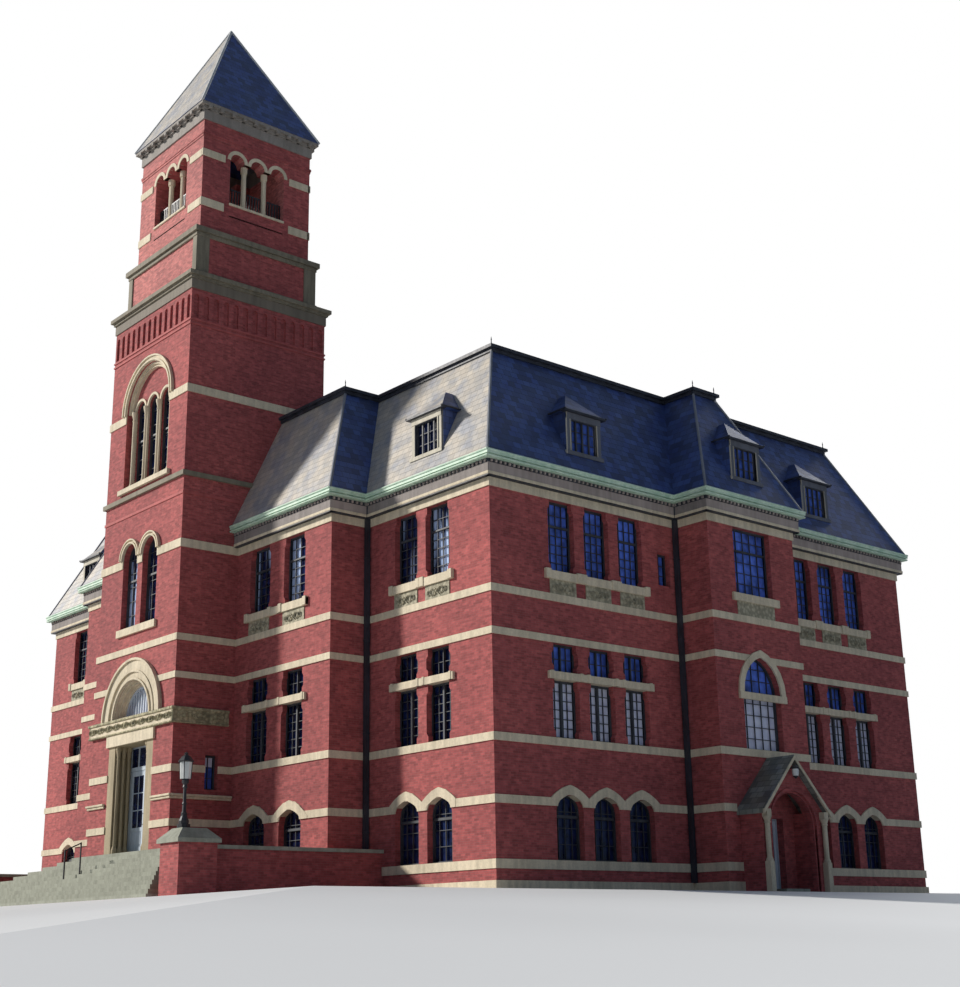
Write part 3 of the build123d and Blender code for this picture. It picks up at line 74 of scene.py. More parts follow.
# Faces of the plan, levels and sizes, in metres
END_FACE = 0.0
MIDDLE_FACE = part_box("front_middle_walls")[0][1]
TOWER_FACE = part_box("tower_front_wall")[0][1]
TOWER_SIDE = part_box("tower_side_walls")[1][0]
SIDE_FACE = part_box("side_walls")[1][0]
BAY_FACE = 17.88
BAY_CENTRE = 11.581
REAR_FACE = 23.162
REAR_MIDDLE_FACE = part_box("rear_middle_wall")[1][1]
TOWER_MIDDLE = -0.948
STAGE_HALF = 2.869
BELFRY_HALF = 2.664
SPIRE_HALF = 2.964
GLASS_DEPTH = 0.33
GROUND_SILL = 1.046
GROUND_SPRING = 2.6
GROUND_RISE = 0.53
HOOD_BOTTOM = 2.755
HOOD_SPRING = 2.85
HOOD_RISE = 0.31
HOOD_BULGE = 0.035
FIRST_SILL = 4.973
TRANSOM_LOW = 6.913
TRANSOM_HIGH = 7.163
FIRST_HEAD = 8.143
SECOND_SILL = 10.62
SECOND_HEAD = 13.15
FRIEZE = 13.473
# Side-facing glass above this level wears a painted sky reflection
GROUND_TOP = 3.6
FANLIGHT_LOW = 7.0
FANLIGHT_HIGH = 8.6
# The tower's panes lie in front of this depth, and the street slopes' slates with painted sunlight
# lie in front of the next
TOWER_DEPTH = -3.0
PAINTED_SUN_DEPTH = 2.6
ROOF_FOOT = 14.283
ROOF_TOP = 19.003
PORTAL_HALF = 1.45
PORTAL_SPRING = 7.024
PAIR_HALF = 0.6
PAIR_SPRING = 13.473
LANCET_HALF = 0.4
LANCET_FOOT = 16.55
LANCET_SPRING = 19.9
BIG_ARCH_HALF = 1.8
BIG_ARCH_SPRING = 19.85


# Modelling helpers
def select_none():
    bpy.ops.object.select_all(action="DESELECT")


def select_only(obj):
    select_none()
    obj.select_set(True)
    bpy.context.view_layer.objects.active = obj


def apply_place(obj):
    select_only(obj)
    bpy.ops.object.transform_apply(location=True, rotation=True, scale=True)


def edit(obj):
    """Opens an object for shaping with all of it selected."""
    select_only(obj)
    bpy.ops.object.mode_set(mode="EDIT")
    bpy.ops.mesh.select_all(action="SELECT")


def leave():
    bpy.ops.object.mode_set(mode="OBJECT")


def pull(distance):
    """Extrudes what is selected along a vector."""
    bpy.ops.mesh.extrude_region_move(TRANSFORM_OT_translate={"value": distance})


def merge(objects):
    """One object from several."""
    select_none()
    for obj in objects:
        obj.select_set(True)
    bpy.context.view_layer.objects.active = objects[0]
    if len(objects) > 1:
        bpy.ops.object.join()
    return objects[0]


def cut(spot, way, keep_outer=False):
    """Cuts the open object at a plane and keeps one side: the inner, closed, or the outer."""
    bpy.ops.mesh.select_all(action="SELECT")
    bpy.ops.mesh.bisect(
        plane_co=spot, plane_no=way, use_fill=not keep_outer,
        clear_inner=keep_outer, clear_outer=not keep_outer,
    )


def blocks(boxes, bevel=0.012):
    """Blocks between pairs of corners, with softened edges."""
    select_none()
    obj = None
    for low, high in boxes:
        place = [(a + b) / 2 for a, b in zip(low, high)]
        size = [abs(b - a) for a, b in zip(low, high)]
        bpy.ops.mesh.primitive_cube_add(size=1, location=place, scale=size)
        if obj is None:
            obj = bpy.context.object
            apply_place(obj)
            bpy.ops.object.mode_set(mode="EDIT")
    bpy.ops.mesh.select_all(action="SELECT")
    if bevel:
        bpy.ops.mesh.bevel(offset=bevel, segments=1, affect="EDGES")
    leave()
    return obj


def sided(boxes):
    """Blocks on the right and their mirror images on the left."""
    return boxes + [((-x0, y0, z0), (-x1, y1, z1)) for (x0, y0, z0), (x1, y1, z1) in boxes]


def plate(points, front, back):
    """A plate with a drawn outline in the plane of a wall."""
    select_none()
    bpy.ops.mesh.primitive_circle_add(vertices=len(points), radius=1, fill_type="NGON")
    obj = bpy.context.object
    for vertex, (x, z) in zip(obj.data.vertices, points):
        vertex.co = (x, front, z)
    edit(obj)
    pull((0, back - front, 0))
    leave()
    return obj


def lattice(width, bottom, top, columns, rows, bar, front, depth):
    """A grid of bars: a sheet of panes, each inset and taken out, then given its depth."""
    select_none()
    bpy.ops.mesh.primitive_grid_add(
        x_subdivisions=columns, y_subdivisions=rows, size=1,
        location=(0, front, (bottom + top) / 2), rotation=(pi / 2, 0, 0),
    )
    obj = bpy.context.object
    obj.scale = (width, top - bottom, 1)
    apply_place(obj)
    edit(obj)
    bpy.ops.mesh.inset(thickness=bar / 2, use_individual=True)
    bpy.ops.mesh.delete(type="FACE")
    bpy.ops.mesh.select_all(action="SELECT")
    pull((0, depth, 0))
    leave()
    return obj


def arch_points(half, spring, rise, steps=6):
    """The right half of an arch's edge, from its spring to its crown."""
    radius = (half**2 + rise**2) / (2 * half)
    turn = acos((radius - half) / radius)
    return [
        (half - radius + radius * cos(turn * i / steps), spring + radius * sin(turn * i / steps))
        for i in range(steps + 1)
    ]


def trim_to_arch(obj, half, spring, rise):
    """Cuts a flat piece to the shape of an arched opening."""
    points = arch_points(half, spring, rise)
    edit(obj)
    for (x0, z0), (x1, z1) in zip(points, points[1:]):
        for side in (1, -1):
            cut((side * x0, 0, z0), (side * (z1 - z0), 0, x0 - x1))
    leave()
    return obj


def arc_of(half, rise, bulge=0.0):
    """Centre and radius of an arch's right side, which leaves its spring upright.

    With a bulge it is a flatter arc that stands that far off its chord.
    """
    if not bulge:
        radius = (half**2 + rise**2) / (2 * half)
        return half - radius, 0.0, radius
    chord = hypot(half, rise)
    radius = chord**2 / (8 * bulge) + bulge / 2
    away = radius - bulge
    return half / 2 - away * rise / chord, rise / 2 - away * half / chord, radius


def arch_ring(half, inner, outer, front, back, bottom, spring, rise, steps=8, bulge=0.0):
    """A ring round an arched opening, spun from its cross-section, with legs down to bottom."""
    x, z, radius = arc_of(half, rise, bulge)
    first = asin(-z / (radius + outer)) - (0.02 if bulge else 0.0)
    last = max(acos(-x / (radius + edge)) for edge in (inner, outer)) + 0.001
    middle = radius + (inner + outer) / 2
    select_none()
    bpy.ops.mesh.primitive_plane_add(
        size=1, rotation=(0, -first, 0),
        location=(x + middle * cos(first), (front + back) / 2, spring + z + middle * sin(first)),
    )
    obj = bpy.context.object
    obj.scale = (outer - inner, back - front, 1)
    apply_place(obj)
    edit(obj)
    bpy.ops.mesh.delete(type="ONLY_FACE")
    bpy.ops.mesh.select_all(action="SELECT")
    bpy.ops.mesh.spin(
        steps=steps, angle=last - first, center=(x, 0, spring + z), axis=(0, 1, 0)
    )
    cut((0, 0, 0), (1, 0, 0), keep_outer=True)
    if bulge:
        cut((0, 0, spring), (0, 0, 1), keep_outer=True)
    leave()
    for vertex in obj.data.vertices:
        vertex.select = abs(vertex.co.z - spring) < 1e-4 and vertex.co.x > half / 2
    for edge in obj.data.edges:
        ends = [obj.data.vertices[i] for i in edge.vertices]
        edge.select = all(v.select for v in ends)
    select_only(obj)
    bpy.ops.object.mode_set(mode="EDIT")
    if bottom < spring - 1e-4:
        pull((0, 0, bottom - spring))
    bpy.ops.mesh.edge_face_add()
    leave()
    mirror = obj.modifiers.new("Mirror", "MIRROR")
    mirror.merge_threshold = 0.002
    bpy.ops.object.modifier_apply(modifier=mirror.name)
    return obj


def rings(half, spring, steps, bands, foot=None):
    """Round arches in one piece, from each one's inner and outer edge, front and back."""
    bottom = spring if foot is None else foot
    return merge([arch_ring(half, *band, bottom, spring, half, steps) for band in bands])


def clip_sides(obj, limit):
    """Cuts a piece off at a distance to either side."""
    edit(obj)
    for side in (1, -1):
        cut((side * limit, 0, 0), (side, 0, 0))
    leave()
    return obj


def turned(spot, profile, sides=12):
    """A turned piece: a disc drawn up through a list of (radius, level)."""
    radius, level = profile[0]
    select_none()
    bpy.ops.mesh.primitive_circle_add(
        vertices=sides, radius=radius, fill_type="NGON", location=(spot[0], spot[1], level)
    )
    obj = bpy.context.object
    apply_place(obj)
    edit(obj)
    for new_radius, new_level in profile[1:]:
        pull((0, 0, new_level - level))
        ratio = new_radius / radius
        bpy.ops.transform.resize(
            value=(ratio, ratio, 1), center_override=(spot[0], spot[1], new_level)
        )
        radius, level = new_radius, new_level
    leave()
    return obj


def rod(start, end, radius, sides=6):
    """A straight rod between two points."""
    start, end = Vector(start), Vector(end)
    direction = end - start
    select_none()
    bpy.ops.mesh.primitive_cylinder_add(
        vertices=sides, radius=radius, depth=direction.length, location=(start + end) / 2,
        rotation=direction.to_track_quat("Z", "Y").to_euler(),
    )
    obj = bpy.context.object
    apply_place(obj)
    return obj


def spread(template, places):
    """Copies of one modelled piece at every place, each with its own mesh, as one object."""
    copies = []
    for place in places:
        mesh = template.data.copy()
        mesh.transform(place)
        if place.determinant() < 0:
            mesh.flip_normals()
        copy = bpy.data.objects.new(template.name, mesh)
        bpy.context.collection.objects.link(copy)
        copies.append(copy)
    bpy.data.objects.remove(template)
    return merge(copies)


finishes = {}
# The finishes of each material slot; the first is the one that its frame nodes wear
SLOT_FINISHES = {
    "brick": ("brick", "high_brick"),
    "stone": ("stone", "weathered", "frieze", "courses", "apron", "steps", "carving", "jambs",
              "frames", "eaves"),
    "slate": ("slate", "porch_slate"),
    "copper": ("copper",),
    "dark_metal": ("dark", "hips", "bars", "pale"),
    "roofing": ("roofing",),
    "glass": ("glass", "lantern"),
    "iron": ("iron",),
    "door_paint": ("door",),
    "floor": ("floor",),
}
# Nodes with a finish of their own
NODE_FINISHES = {
    "steps": ("front_steps", "side_steps", "door_thresholds", "cheek_copings"),
    "apron": ("apron_panels",),
    "jambs": ("portal_jambs",),
    "weathered": ("tower_cornices",),
    "courses": ("tower_courses",),
    "eaves": ("tower_eaves",),
    "frieze": ("eaves_cornice",),
    "porch_slate": ("porch_roof",),
    "frames": ("dormer_bodies",),
    "high_brick": ("tower_stage", "belfry_piers", "belfry_arches", "belfry_parapets"),
}


def finish(obj, name, key, places=(), body="building"):
    """Spreads a piece over its places and gives it its name, finish and body."""
    if places:
        obj = spread(obj, places)
    obj.name = name
    obj.data.name = name
    edit(obj)
    bpy.ops.mesh.normals_make_consistent(inside=False)
    leave()
    obj.data.materials.clear()
    obj.data.materials.append(finishes[key])
    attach(obj, body)
    return obj


# Places on the faces of the building, where +X runs along a face and +Y runs in
def front(face):
    return Matrix.Translation((0, face, 0))


def right(face):
    return Matrix.Translation((face, 0, 0)) @ Matrix.Rotation(pi / 2, 4, "Z")


def rear(face):
    return Matrix.Translation((0, face, 0)) @ Matrix.Rotation(pi, 4, "Z")


def along(face, places):
    return [face @ Matrix.Translation((place, 0, 0)) for place in places]


MIRROR = Matrix.Scale(-1, 4, (1, 0, 0))


def both(places):
    """The places and their mirror images on the other half of the building."""
    return places + [MIRROR @ place for place in places]


HALVES = both([Matrix.Identity(4)])
END_SPOTS = both(along(front(END_FACE), (11.8, 13.55)) + along(rear(REAR_FACE), (-11.8, -13.55)))
MIDDLE_SPOTS = both(along(front(MIDDLE_FACE), (4.85, 7.19)))
REAR_MIDDLE_SPOTS = along(
    rear(REAR_MIDDLE_FACE), [c + s for c in (-6.02, 0, 6.02) for s in (-1.17, 1.17)]
)
WING_PLACES = (3.25, 4.95, 6.65, 16.512, 18.212, 19.912)
WING_SPOTS = both(along(right(SIDE_FACE), WING_PLACES))
SIDE_DOOR_SPOT = along(right(BAY_FACE), (BAY_CENTRE,))
BAY_SPOTS = both(SIDE_DOOR_SPOT)
BAY_PAIR_SPOTS = [
    MIRROR @ spot for spot in along(right(BAY_FACE), (BAY_CENTRE - 1.23, BAY_CENTRE + 1.23))
]
TOWER_SPOT = [front(TOWER_FACE)]
TOWER_PAIR_SPOTS = along(front(TOWER_FACE), (-0.8, 0.8))
LANCET_SPOTS = along(front(TOWER_FACE), (-1.05, 0.0, 1.05))
# Name, places, width, how far the stone blocks reach over the piers, and half a hood's width
WINDOW_SETS = (
    ("end", END_SPOTS, 1.3, 0.225, 0.875),
    ("middle", MIDDLE_SPOTS + REAR_MIDDLE_SPOTS, 1.4, 0.21, 1.17),
    ("wing", WING_SPOTS, 1.23, 0.235, 0.85),
)
BAY_WINDOW_WIDTH = 1.23
DORMER_SPOTS = both(
    along(front(END_FACE), (12.984,)) + along(right(SIDE_FACE), (4.556, 17.9))
    + SIDE_DOOR_SPOT + along(rear(REAR_FACE), (-12.924,))
)


# Shader maths as Python expressions
def maths(operation, swapped=False):
    """A Python operator that adds a Math node."""
    def apply(self, other):
        first, second = (other, self) if swapped else (self, other)
        return self.paint.node("ShaderNodeMath", {"operation": operation}, {0: first, 1: second})
    return apply


class Term:
    """A value that changes over a surface."""

    __add__ = __radd__ = maths("ADD")
    __sub__ = maths("SUBTRACT")
    __rsub__ = maths("SUBTRACT", swapped=True)
    __mul__ = __rmul__ = maths("MULTIPLY")
    __truediv__ = maths("DIVIDE")
    __gt__ = maths("GREATER_THAN")
    __lt__ = maths("LESS_THAN")

    def __init__(self, paint, socket):
        self.paint = paint
        self.socket = socket

    def __abs__(self):
        return self.paint.node("ShaderNodeMath", {"operation": "ABSOLUTE"}, {0: self})


class Paint:
    """A material whose nodes all come from one method."""

    def __init__(self, name, **constants):
        self.material = bpy.data.materials.new(name)
        self.material.use_nodes = True
        self.tree = self.material.node_tree
        self.shader = self.tree.nodes["Principled BSDF"]
        for socket, value in constants.items():
            self.shader.inputs[socket.replace("_", " ")].default_value = value

    def node(self, kind, settings=None, values=None, output=0):
        made = self.tree.nodes.new(kind)
        for key, value in (settings or {}).items():
            if key == "stops":
                ramp = made.color_ramp
                ramp.elements[0].position, ramp.elements[0].color = value[0]
                ramp.elements[1].position, ramp.elements[1].color = value[-1]
                for position, shade in value[1:-1]:
                    ramp.elements.new(position).color = shade
            else:
                setattr(made, key, value)
        for key, value in (values or {}).items():
            if isinstance(value, Term):
                self.tree.links.new(value.socket, made.inputs[key])
            else:
                made.inputs[key].default_value = value
        return Term(self, made.outputs[output])

    def place(self):
        """The surface's own coordinates."""
        return self.node("ShaderNodeTexCoord", output="Object")

    def split(self, vector):
        """The three parts of a vector."""
        outputs = self.node("ShaderNodeSeparateXYZ", values={0: vector}).socket.node.outputs
        return [Term(self, outputs[i]) for i in range(3)]

    def axes(self):
        return self.split(self.place())

    def normal(self):
        return self.split(self.node("ShaderNodeTexCoord", output="Normal"))

    def faces_side(self):
        """1 where the surface faces left or right, and 0 where it faces front or rear."""
        x, y, z = self.normal()
        return abs(x) > abs(y)

    def faces_front(self):
        """1 where the surface faces the street."""
        return self.normal()[1] < -0.3

    def run(self):
        """The way along a wall, whichever way it faces."""
        x, y, z = self.axes()
        side = self.faces_side()
        return x * (1 - side) + y * side

    def rows(self, layout, colours=()):
        """Staggered rows in two colours with a third in their joints, or the joints alone."""
        shades = dict(zip(("Color1", "Color2", "Mortar"), colours))
        return self.node(
            "ShaderNodeTexBrick", {"offset": 0.5}, {"Scale": 1.0, **layout, **shades},
            output=0 if colours else 1,
        )

    def vector(self, x, y, z):
        return self.node("ShaderNodeCombineXYZ", values={0: x, 1: y, 2: z})

    def noise(self, scale, detail, vector=None):
        return self.node(
            "ShaderNodeTexNoise",
            values={"Vector": vector or self.place(), "Scale": scale, "Detail": detail},
        )

    def mix(self, factor, first, second, blend="MIX"):
        """Two colours, mixed or blended."""
        return self.node(
            "ShaderNodeMix", {"data_type": "RGBA", "blend_type": blend},
            {0: factor, 6: first, 7: second}, output=2,
        )

    def times(self, first, second):
        return self.mix(1.0, first, second, "MULTIPLY")

    def clamp(self, value):
        return self.node("ShaderNodeClamp", values={0: value})

    def ramp(self, factor, *stops):
        return self.node("ShaderNodeValToRGB", {"stops": stops}, {0: factor})

    def feed(self, socket, value):
        self.tree.links.new(value.socket, self.shader.inputs[socket])

    def bump(self, height, strength, distance):
        values = {"Strength": strength, "Distance": distance, "Height": height}
        self.feed("Normal", self.node("ShaderNodeBump", values=values))


def colour(rgb):
    return (*rgb, 1.0)


def tinted(rgb, ratio):
    return colour([min(1.0, c * ratio) for c in rgb])


WHITE = colour((1.0, 1.0, 1.0))
BRICK_WIDTH = 0.23
BRICK_HEIGHT = 0.075


def brick_finish(name, base, mortar, painted_sun=None):
    """Brick in courses, with lighter and darker bricks and broad weathering.

    The last argument lightens the side that faces the street, as painted sunlight.
    """
    paint = Paint(name, Roughness=0.85, IOR=1.4)
    layout = {
        "Vector": paint.vector(paint.run(), paint.axes()[2], 0.0), "Mortar Size": 0.005,
        "Mortar Smooth": 0.2, "Bias": 0.0, "Brick Width": BRICK_WIDTH,
        "Row Height": BRICK_HEIGHT,
    }
    courses = paint.rows(layout, (tinted(base, 0.76), tinted(base, 1.24), colour(mortar)))
    tone = paint.ramp(paint.noise(0.35, 4.0), (0.32, colour((0.74, 0.72, 0.76))), (0.68, WHITE))
    spots = paint.ramp(paint.noise(5.0, 2.0), (0.35, colour((0.76, 0.75, 0.77))), (0.68, WHITE))
    shown = paint.times(paint.times(courses, tone), spots)
    # Painted sunlight: the side that faces the street is lightened.
    if painted_sun:
        shown = paint.mix(paint.faces_front(), shown, paint.times(shown, colour(painted_sun)))
    paint.feed("Base Color", shown)
    paint.bump(1 - paint.rows(layout), 0.5, 0.006)
    return paint.material


def stone_finish(name, base, grime=0.72, relief=0.0, zones=(), off_street_colour=None):
    """Sawn stone with a fine grain, rain streaks and a little grime.

    Relief carves it with curled hollows, painted darker as shade with the raised parts painted
    lighter, zones give its colour between two levels, and the colour given for the sides that
    don't face the street makes the street side and the other sides painted lit and shaded copies
    of the stone.
    """
    paint = Paint(name, Roughness=0.8)
    x, y, z = paint.axes()
    grain = paint.noise(14.0, 5.0)
    streaks = paint.noise(1.0, 4.0, paint.vector(x * 5.0, y * 5.0, z * 0.7))
    broad = paint.noise(0.6, 3.0)
    light = paint.ramp(grain, (0.3, tinted(base, 0.9)), (0.7, tinted(base, 1.06)))
    # Painted light: the street side and the other sides wear lit and shaded copies of the stone.
    if off_street_colour:
        light = paint.mix(paint.faces_front(), colour(off_street_colour), light)
    for low, high, other in zones:
        light = paint.mix((z > low) * (z < high), light, colour(other))
    # Painted shade: the carving's hollows are darker and its raised parts lighter.
    if relief:
        curls = paint.node(
            "ShaderNodeTexVoronoi", {"feature": "SMOOTH_F1"},
            {"Vector": paint.vector(x + grain * 0.06, y, z + grain * 0.06), "Scale": 7.0,
             "Smoothness": 0.4},
        )
        light = paint.times(light, paint.ramp(
            curls, (0.25, colour((1.08, 1.07, 1.03))), (0.6, colour((0.66, 0.66, 0.62)))
        ))
        paint.bump(1 - curls, relief, 0.06)
    else:
        paint.bump(grain, 0.35, 0.01)
    dirty = paint.ramp(
        streaks * 0.6 + broad * 0.4, (0.36, colour((grime, grime, grime * 0.98))), (0.6, WHITE)
    )
    paint.feed("Base Color", paint.times(light, dirty))
    return paint.material


def slate_finish(name, base, row=0.24, width=0.34, painted_sunlit_slates=None):
    """Slates in staggered rows, each lighter or darker, with painted sunlight on the street slopes
    near the front.
    """
    paint = Paint(name, Roughness=0.52, Specular_IOR_Level=0.9)
    x, y, z = paint.axes()
    layout = {
        "Vector": paint.vector(paint.run(), z, 0.0), "Mortar Size": 0.009,
        "Mortar Smooth": 0.3, "Bias": -0.1, "Brick Width": width, "Row Height": row,
    }
    slates = paint.rows(layout, (tinted(base, 0.6), tinted(base, 1.5), tinted(base, 0.35)))
    # Painted sunlight: the street-facing slopes near the front wear a pale lit copy of the slates.
    if painted_sunlit_slates:
        sunlit_copy = paint.rows(
            layout, (tinted(painted_sunlit_slates, 0.86), tinted(painted_sunlit_slates, 1.1), tinted(painted_sunlit_slates, 0.5))
        )
        slates = paint.mix(paint.faces_front() * (y < PAINTED_SUN_DEPTH), slates, sunlit_copy)
    patches = paint.noise(1.4, 5.0)
    warm = paint.ramp(
        patches, (0.36, colour((0.74, 0.8, 0.95))), (0.5, WHITE),
        (0.64, colour((1.2, 1.14, 1.04))),
    )
    paint.feed("Base Color", paint.times(slates, warm))
    lip = paint.node("ShaderNodeMath", {"operation": "FRACT"}, {0: z / row})
    paint.bump((1 - lip) * 0.6 + (1 - paint.rows(layout)) * 0.4, 0.7, 0.02)
    return paint.material


def metal_finish(name, base, worn, rough):
    """Painted or weathered sheet metal with drips and worn patches."""
    paint = Paint(name)
    x, y, z = paint.axes()
    drips = paint.noise(1.0, 4.0, paint.vector(x * 3.0, y * 3.0, z * 0.8))
    fine = paint.noise(9.0, 3.0)
    paint.feed("Base Color", paint.ramp(
        drips * 0.7 + fine * 0.3, (0.38, colour(base)), (0.62, colour(worn))
    ))
    paint.feed("Roughness", fine * 0.2 + rough)
    paint.bump(fine, 0.15, 0.004)
    return paint.material


def glass_finish(name, deep, sky, pale, glint_colour):
    """Dark old panes, with a painted sky reflection on the side above the ground storey, painted
    glints on the second storey, and pale panes in the side's first-storey lower lights and in the
    fanlight.
    """
    paint = Paint(name, Roughness=0.08, Specular_IOR_Level=0.4)
    x, y, z = paint.axes()
    side = paint.faces_side()
    sky_reflection_noise = paint.noise(0.9, 3.0)
    panes = paint.noise(3.4, 1.0)
    # Painted reflection: the sky seen in the panes.
    painted_reflection = paint.ramp(sky_reflection_noise * 0.6 + panes * 0.4, (0.36, colour(deep)), (0.64, colour(sky)))
    dark = paint.ramp(panes, (0.35, tinted(deep, 0.12)), (0.68, tinted(deep, 0.4)))
    streaks = paint.noise(1.0, 1.0, paint.vector(x * 2.3, y * 2.3, z * 0.2))
    # Painted glints: bright streaks on the second storey's panes.
    painted_glints = paint.clamp((streaks - 0.5) * 9.0) * (z > SECOND_SILL) * (z < FRIEZE)
    dark = paint.mix(painted_glints, dark, colour(glint_colour))
    # Painted reflection on the side-facing panes above the ground storey; dark panes elsewhere.
    painted_reflection = paint.mix(side * (z > GROUND_TOP), dark, painted_reflection)
    # Pale panes in the side-facing first storey's lower lights and in the tower's fanlight.
    pale_lower_lights = (z > FIRST_SILL) * (z < TRANSOM_LOW + 0.02) * side
    fanlight = (z > FANLIGHT_LOW) * (z < FANLIGHT_HIGH) * (y < TOWER_DEPTH)
    pale_share = paint.clamp(pale_lower_lights + fanlight) * (0.55 + panes * 0.6)
    paint.feed("Base Color", paint.mix(paint.clamp(pale_share), painted_reflection, colour(pale)))
    return paint.material


def wood_finish(name, base, rough=0.45):
    """Painted or planed boards with a long grain."""
    paint = Paint(name)
    x, y, z = paint.axes()
    grain = paint.noise(2.0, 4.0, paint.vector(x * 12.0, y * 12.0, z * 1.4))
    paint.feed("Base Color", paint.ramp(
        grain, (0.35, tinted(base, 0.86)), (0.65, tinted(base, 1.08))
    ))
    paint.feed("Roughness", grain * 0.2 + rough)
    paint.bump(grain, 0.2, 0.004)
    return paint.material


def length_property(name, description, default, low, high):
    return bpy.props.FloatProperty(
        name=name, description=description, default=default, min=low, max=high, unit="LENGTH"
    )


class HallSizes(bpy.types.PropertyGroup):
    """Sizes of the fine pieces."""

    bar: length_property("Window bar", "Width of a thin glazing bar", 0.022, 0.01, 0.1)
    border: length_property("Window frame", "Width of a window's outer frame", 0.06, 0.02, 0.2)
    mullion: length_property("Mullion", "Width of the post between casements", 0.1, 0.03, 0.3)
    dentil: length_property("Dentil", "Width of a block under the gutter", 0.085, 0.05, 0.4)
    dentil_pitch: length_property("Dentil spacing", "From one dentil to the next", 0.2, 0.1, 1.0)
    hip: length_property("Hip roll", "Radius of the rolls on the roof's hips", 0.055, 0.02, 0.2)


def tint_property(name, description, default):
    return bpy.props.FloatVectorProperty(
        name=name, description=description, default=default, subtype="COLOR", min=0, max=1
    )


class HallColours(bpy.types.PropertyGroup):
    """Base colours of the finishes."""

    brick: tint_property("Brick", "Red brick of the walls", (0.47, 0.105, 0.098))
    mortar: tint_property("Mortar", "Joints of the brickwork", (0.36, 0.15, 0.14))
    stone: tint_property("Stone", "Cream courses, sills and arches", (0.72, 0.62, 0.45))
    steps: tint_property("Steps", "Grey stone of the steps", (0.34, 0.35, 0.28))
    carving: tint_property("Carving", "Darker carved stone", (0.5, 0.45, 0.29))
    slate: tint_property("Slate", "Roof slates", (0.03, 0.06, 0.2))
    copper: tint_property("Copper", "Green gutter", (0.42, 0.6, 0.46))
    # Dark metal also makes the cornice's strips of painted shadow.
    dark: tint_property("Dark metal", "Pipes, roof edge and fillets", (0.016, 0.017, 0.024))
    pale: tint_property("Pale metal", "Roof edge's cap and spire's hips", (0.6, 0.6, 0.58))
    weathered: tint_property("Weathered stone", "Dark stone of the tower", (0.24, 0.21, 0.15))
    # Painted sunlight: the pale colour of the street-facing slopes near the front.
    painted_sunlit_slates: tint_property("Painted sunlit slates", "Slates on the sunny side", (0.45, 0.42, 0.38))
    # Painted shadow: this dark colour stands for the gutter's shadow on the frieze's street side.
    frieze: tint_property("Frieze", "Stone under the gutter", (0.27, 0.235, 0.22))
    door: tint_property("Door paint", "Doors and the fanlight's bars", (0.5, 0.57, 0.64))


def sizes():
    return bpy.context.scene.hall_sizes


class HALL_OT_finishes(bpy.types.Operator):
    """Mixes the finishes and puts them on the frame's nodes"""

    bl_idname = "hall.finishes"
    bl_label = "Finishes"

    def execute(self, context):
        tint = context.scene.hall_colours
        finishes.update(
            brick=brick_finish("brick", tint.brick, tint.mortar),
            # Painted sunlight on the street side of the tower's stage and belfry.
            high_brick=brick_finish("high_brick", tint.brick, tint.mortar, (1.36, 1.9, 1.8)),
            stone=stone_finish("cream_stone", tint.stone),
            weathered=stone_finish("weathered_stone", tint.weathered, grime=0.6),
            # Painted shadow: the frieze's street side wears a dark colour for the gutter's shadow;
            # its other sides wear the paler stone.
            frieze=stone_finish("frieze_stone_painted_shadow", tint.frieze, grime=0.7, off_street_colour=(0.41, 0.34, 0.31)),
            hips=metal_finish("hip_metal", (0.17, 0.18, 0.21), (0.24, 0.25, 0.28), 0.45),
            courses=stone_finish("tower_stone", tint.stone, zones=(
                (15.2, 15.5, tint.brick), (22.25, 22.62, tint.brick),
                (15.95, 16.2, tint.weathered), (23.85, 24.4, (0.2, 0.17, 0.13)))),
            apron=stone_finish("apron_stone", (0.47, 0.43, 0.32), relief=0.3, grime=0.75),
            steps=stone_finish("step_stone", tint.steps, grime=0.7),
            carving=stone_finish("carved_stone", tint.carving, grime=0.6, relief=0.7),
            jambs=stone_finish("portal_stone", (0.43, 0.35, 0.22), grime=0.7),
            # Painted shade: the dormers' frames are dark on the sides that don't face the street.
            frames=stone_finish("dormer_stone_painted_shade", (0.62, 0.57, 0.46), off_street_colour=(0.13, 0.14, 0.17)),
            eaves=stone_finish("spire_eaves_stone", (0.3, 0.27, 0.24)),
            slate=slate_finish("slate", tint.slate, painted_sunlit_slates=tint.painted_sunlit_slates),
            porch_slate=slate_finish("porch_slate", (0.17, 0.19, 0.17), 0.2, 0.3),
            copper=metal_finish("green_copper", tint.copper, (0.6, 0.74, 0.6), 0.5),
            dark=metal_finish("dark_metal", tint.dark, (0.035, 0.04, 0.055), 0.45),
            bars=metal_finish("window_bars", (0.025, 0.028, 0.035), (0.055, 0.06, 0.07), 0.5),
            pale=metal_finish("pale_metal", tint.pale, (0.42, 0.43, 0.43), 0.5),
            roofing=metal_finish("flat_roofing", (0.3, 0.3, 0.3), (0.4, 0.4, 0.38), 0.7),
            # Dark panes with a painted sky reflection and painted glints, and pale lower lights
            # and fanlight.
            glass=glass_finish("panes", (0.035, 0.065, 0.24), (0.13, 0.25, 0.95),
                               (0.84, 0.86, 0.98), (0.5, 0.63, 0.9)),
            iron=metal_finish("black_iron", (0.012, 0.012, 0.015), (0.03, 0.03, 0.035), 0.4),
            door=wood_finish("door_paint", tint.door),
            floor=wood_finish("floor_boards", (0.3, 0.2, 0.12), 0.6),
            lantern=metal_finish("lantern_panes", (0.6, 0.62, 0.6), (0.75, 0.76, 0.72), 0.2),
        )
        by_node = {node: key for key, group in NODE_FINISHES.items() for node in group}
        for part in frame["record"]["subparts"]:
            name = part["node"]
            key = by_node.get(name, SLOT_FINISHES[part["material_slot"]][0])
            nodes[name].data.materials.clear()
            nodes[name].data.materials.append(finishes[key])
        return {"FINISHED"}


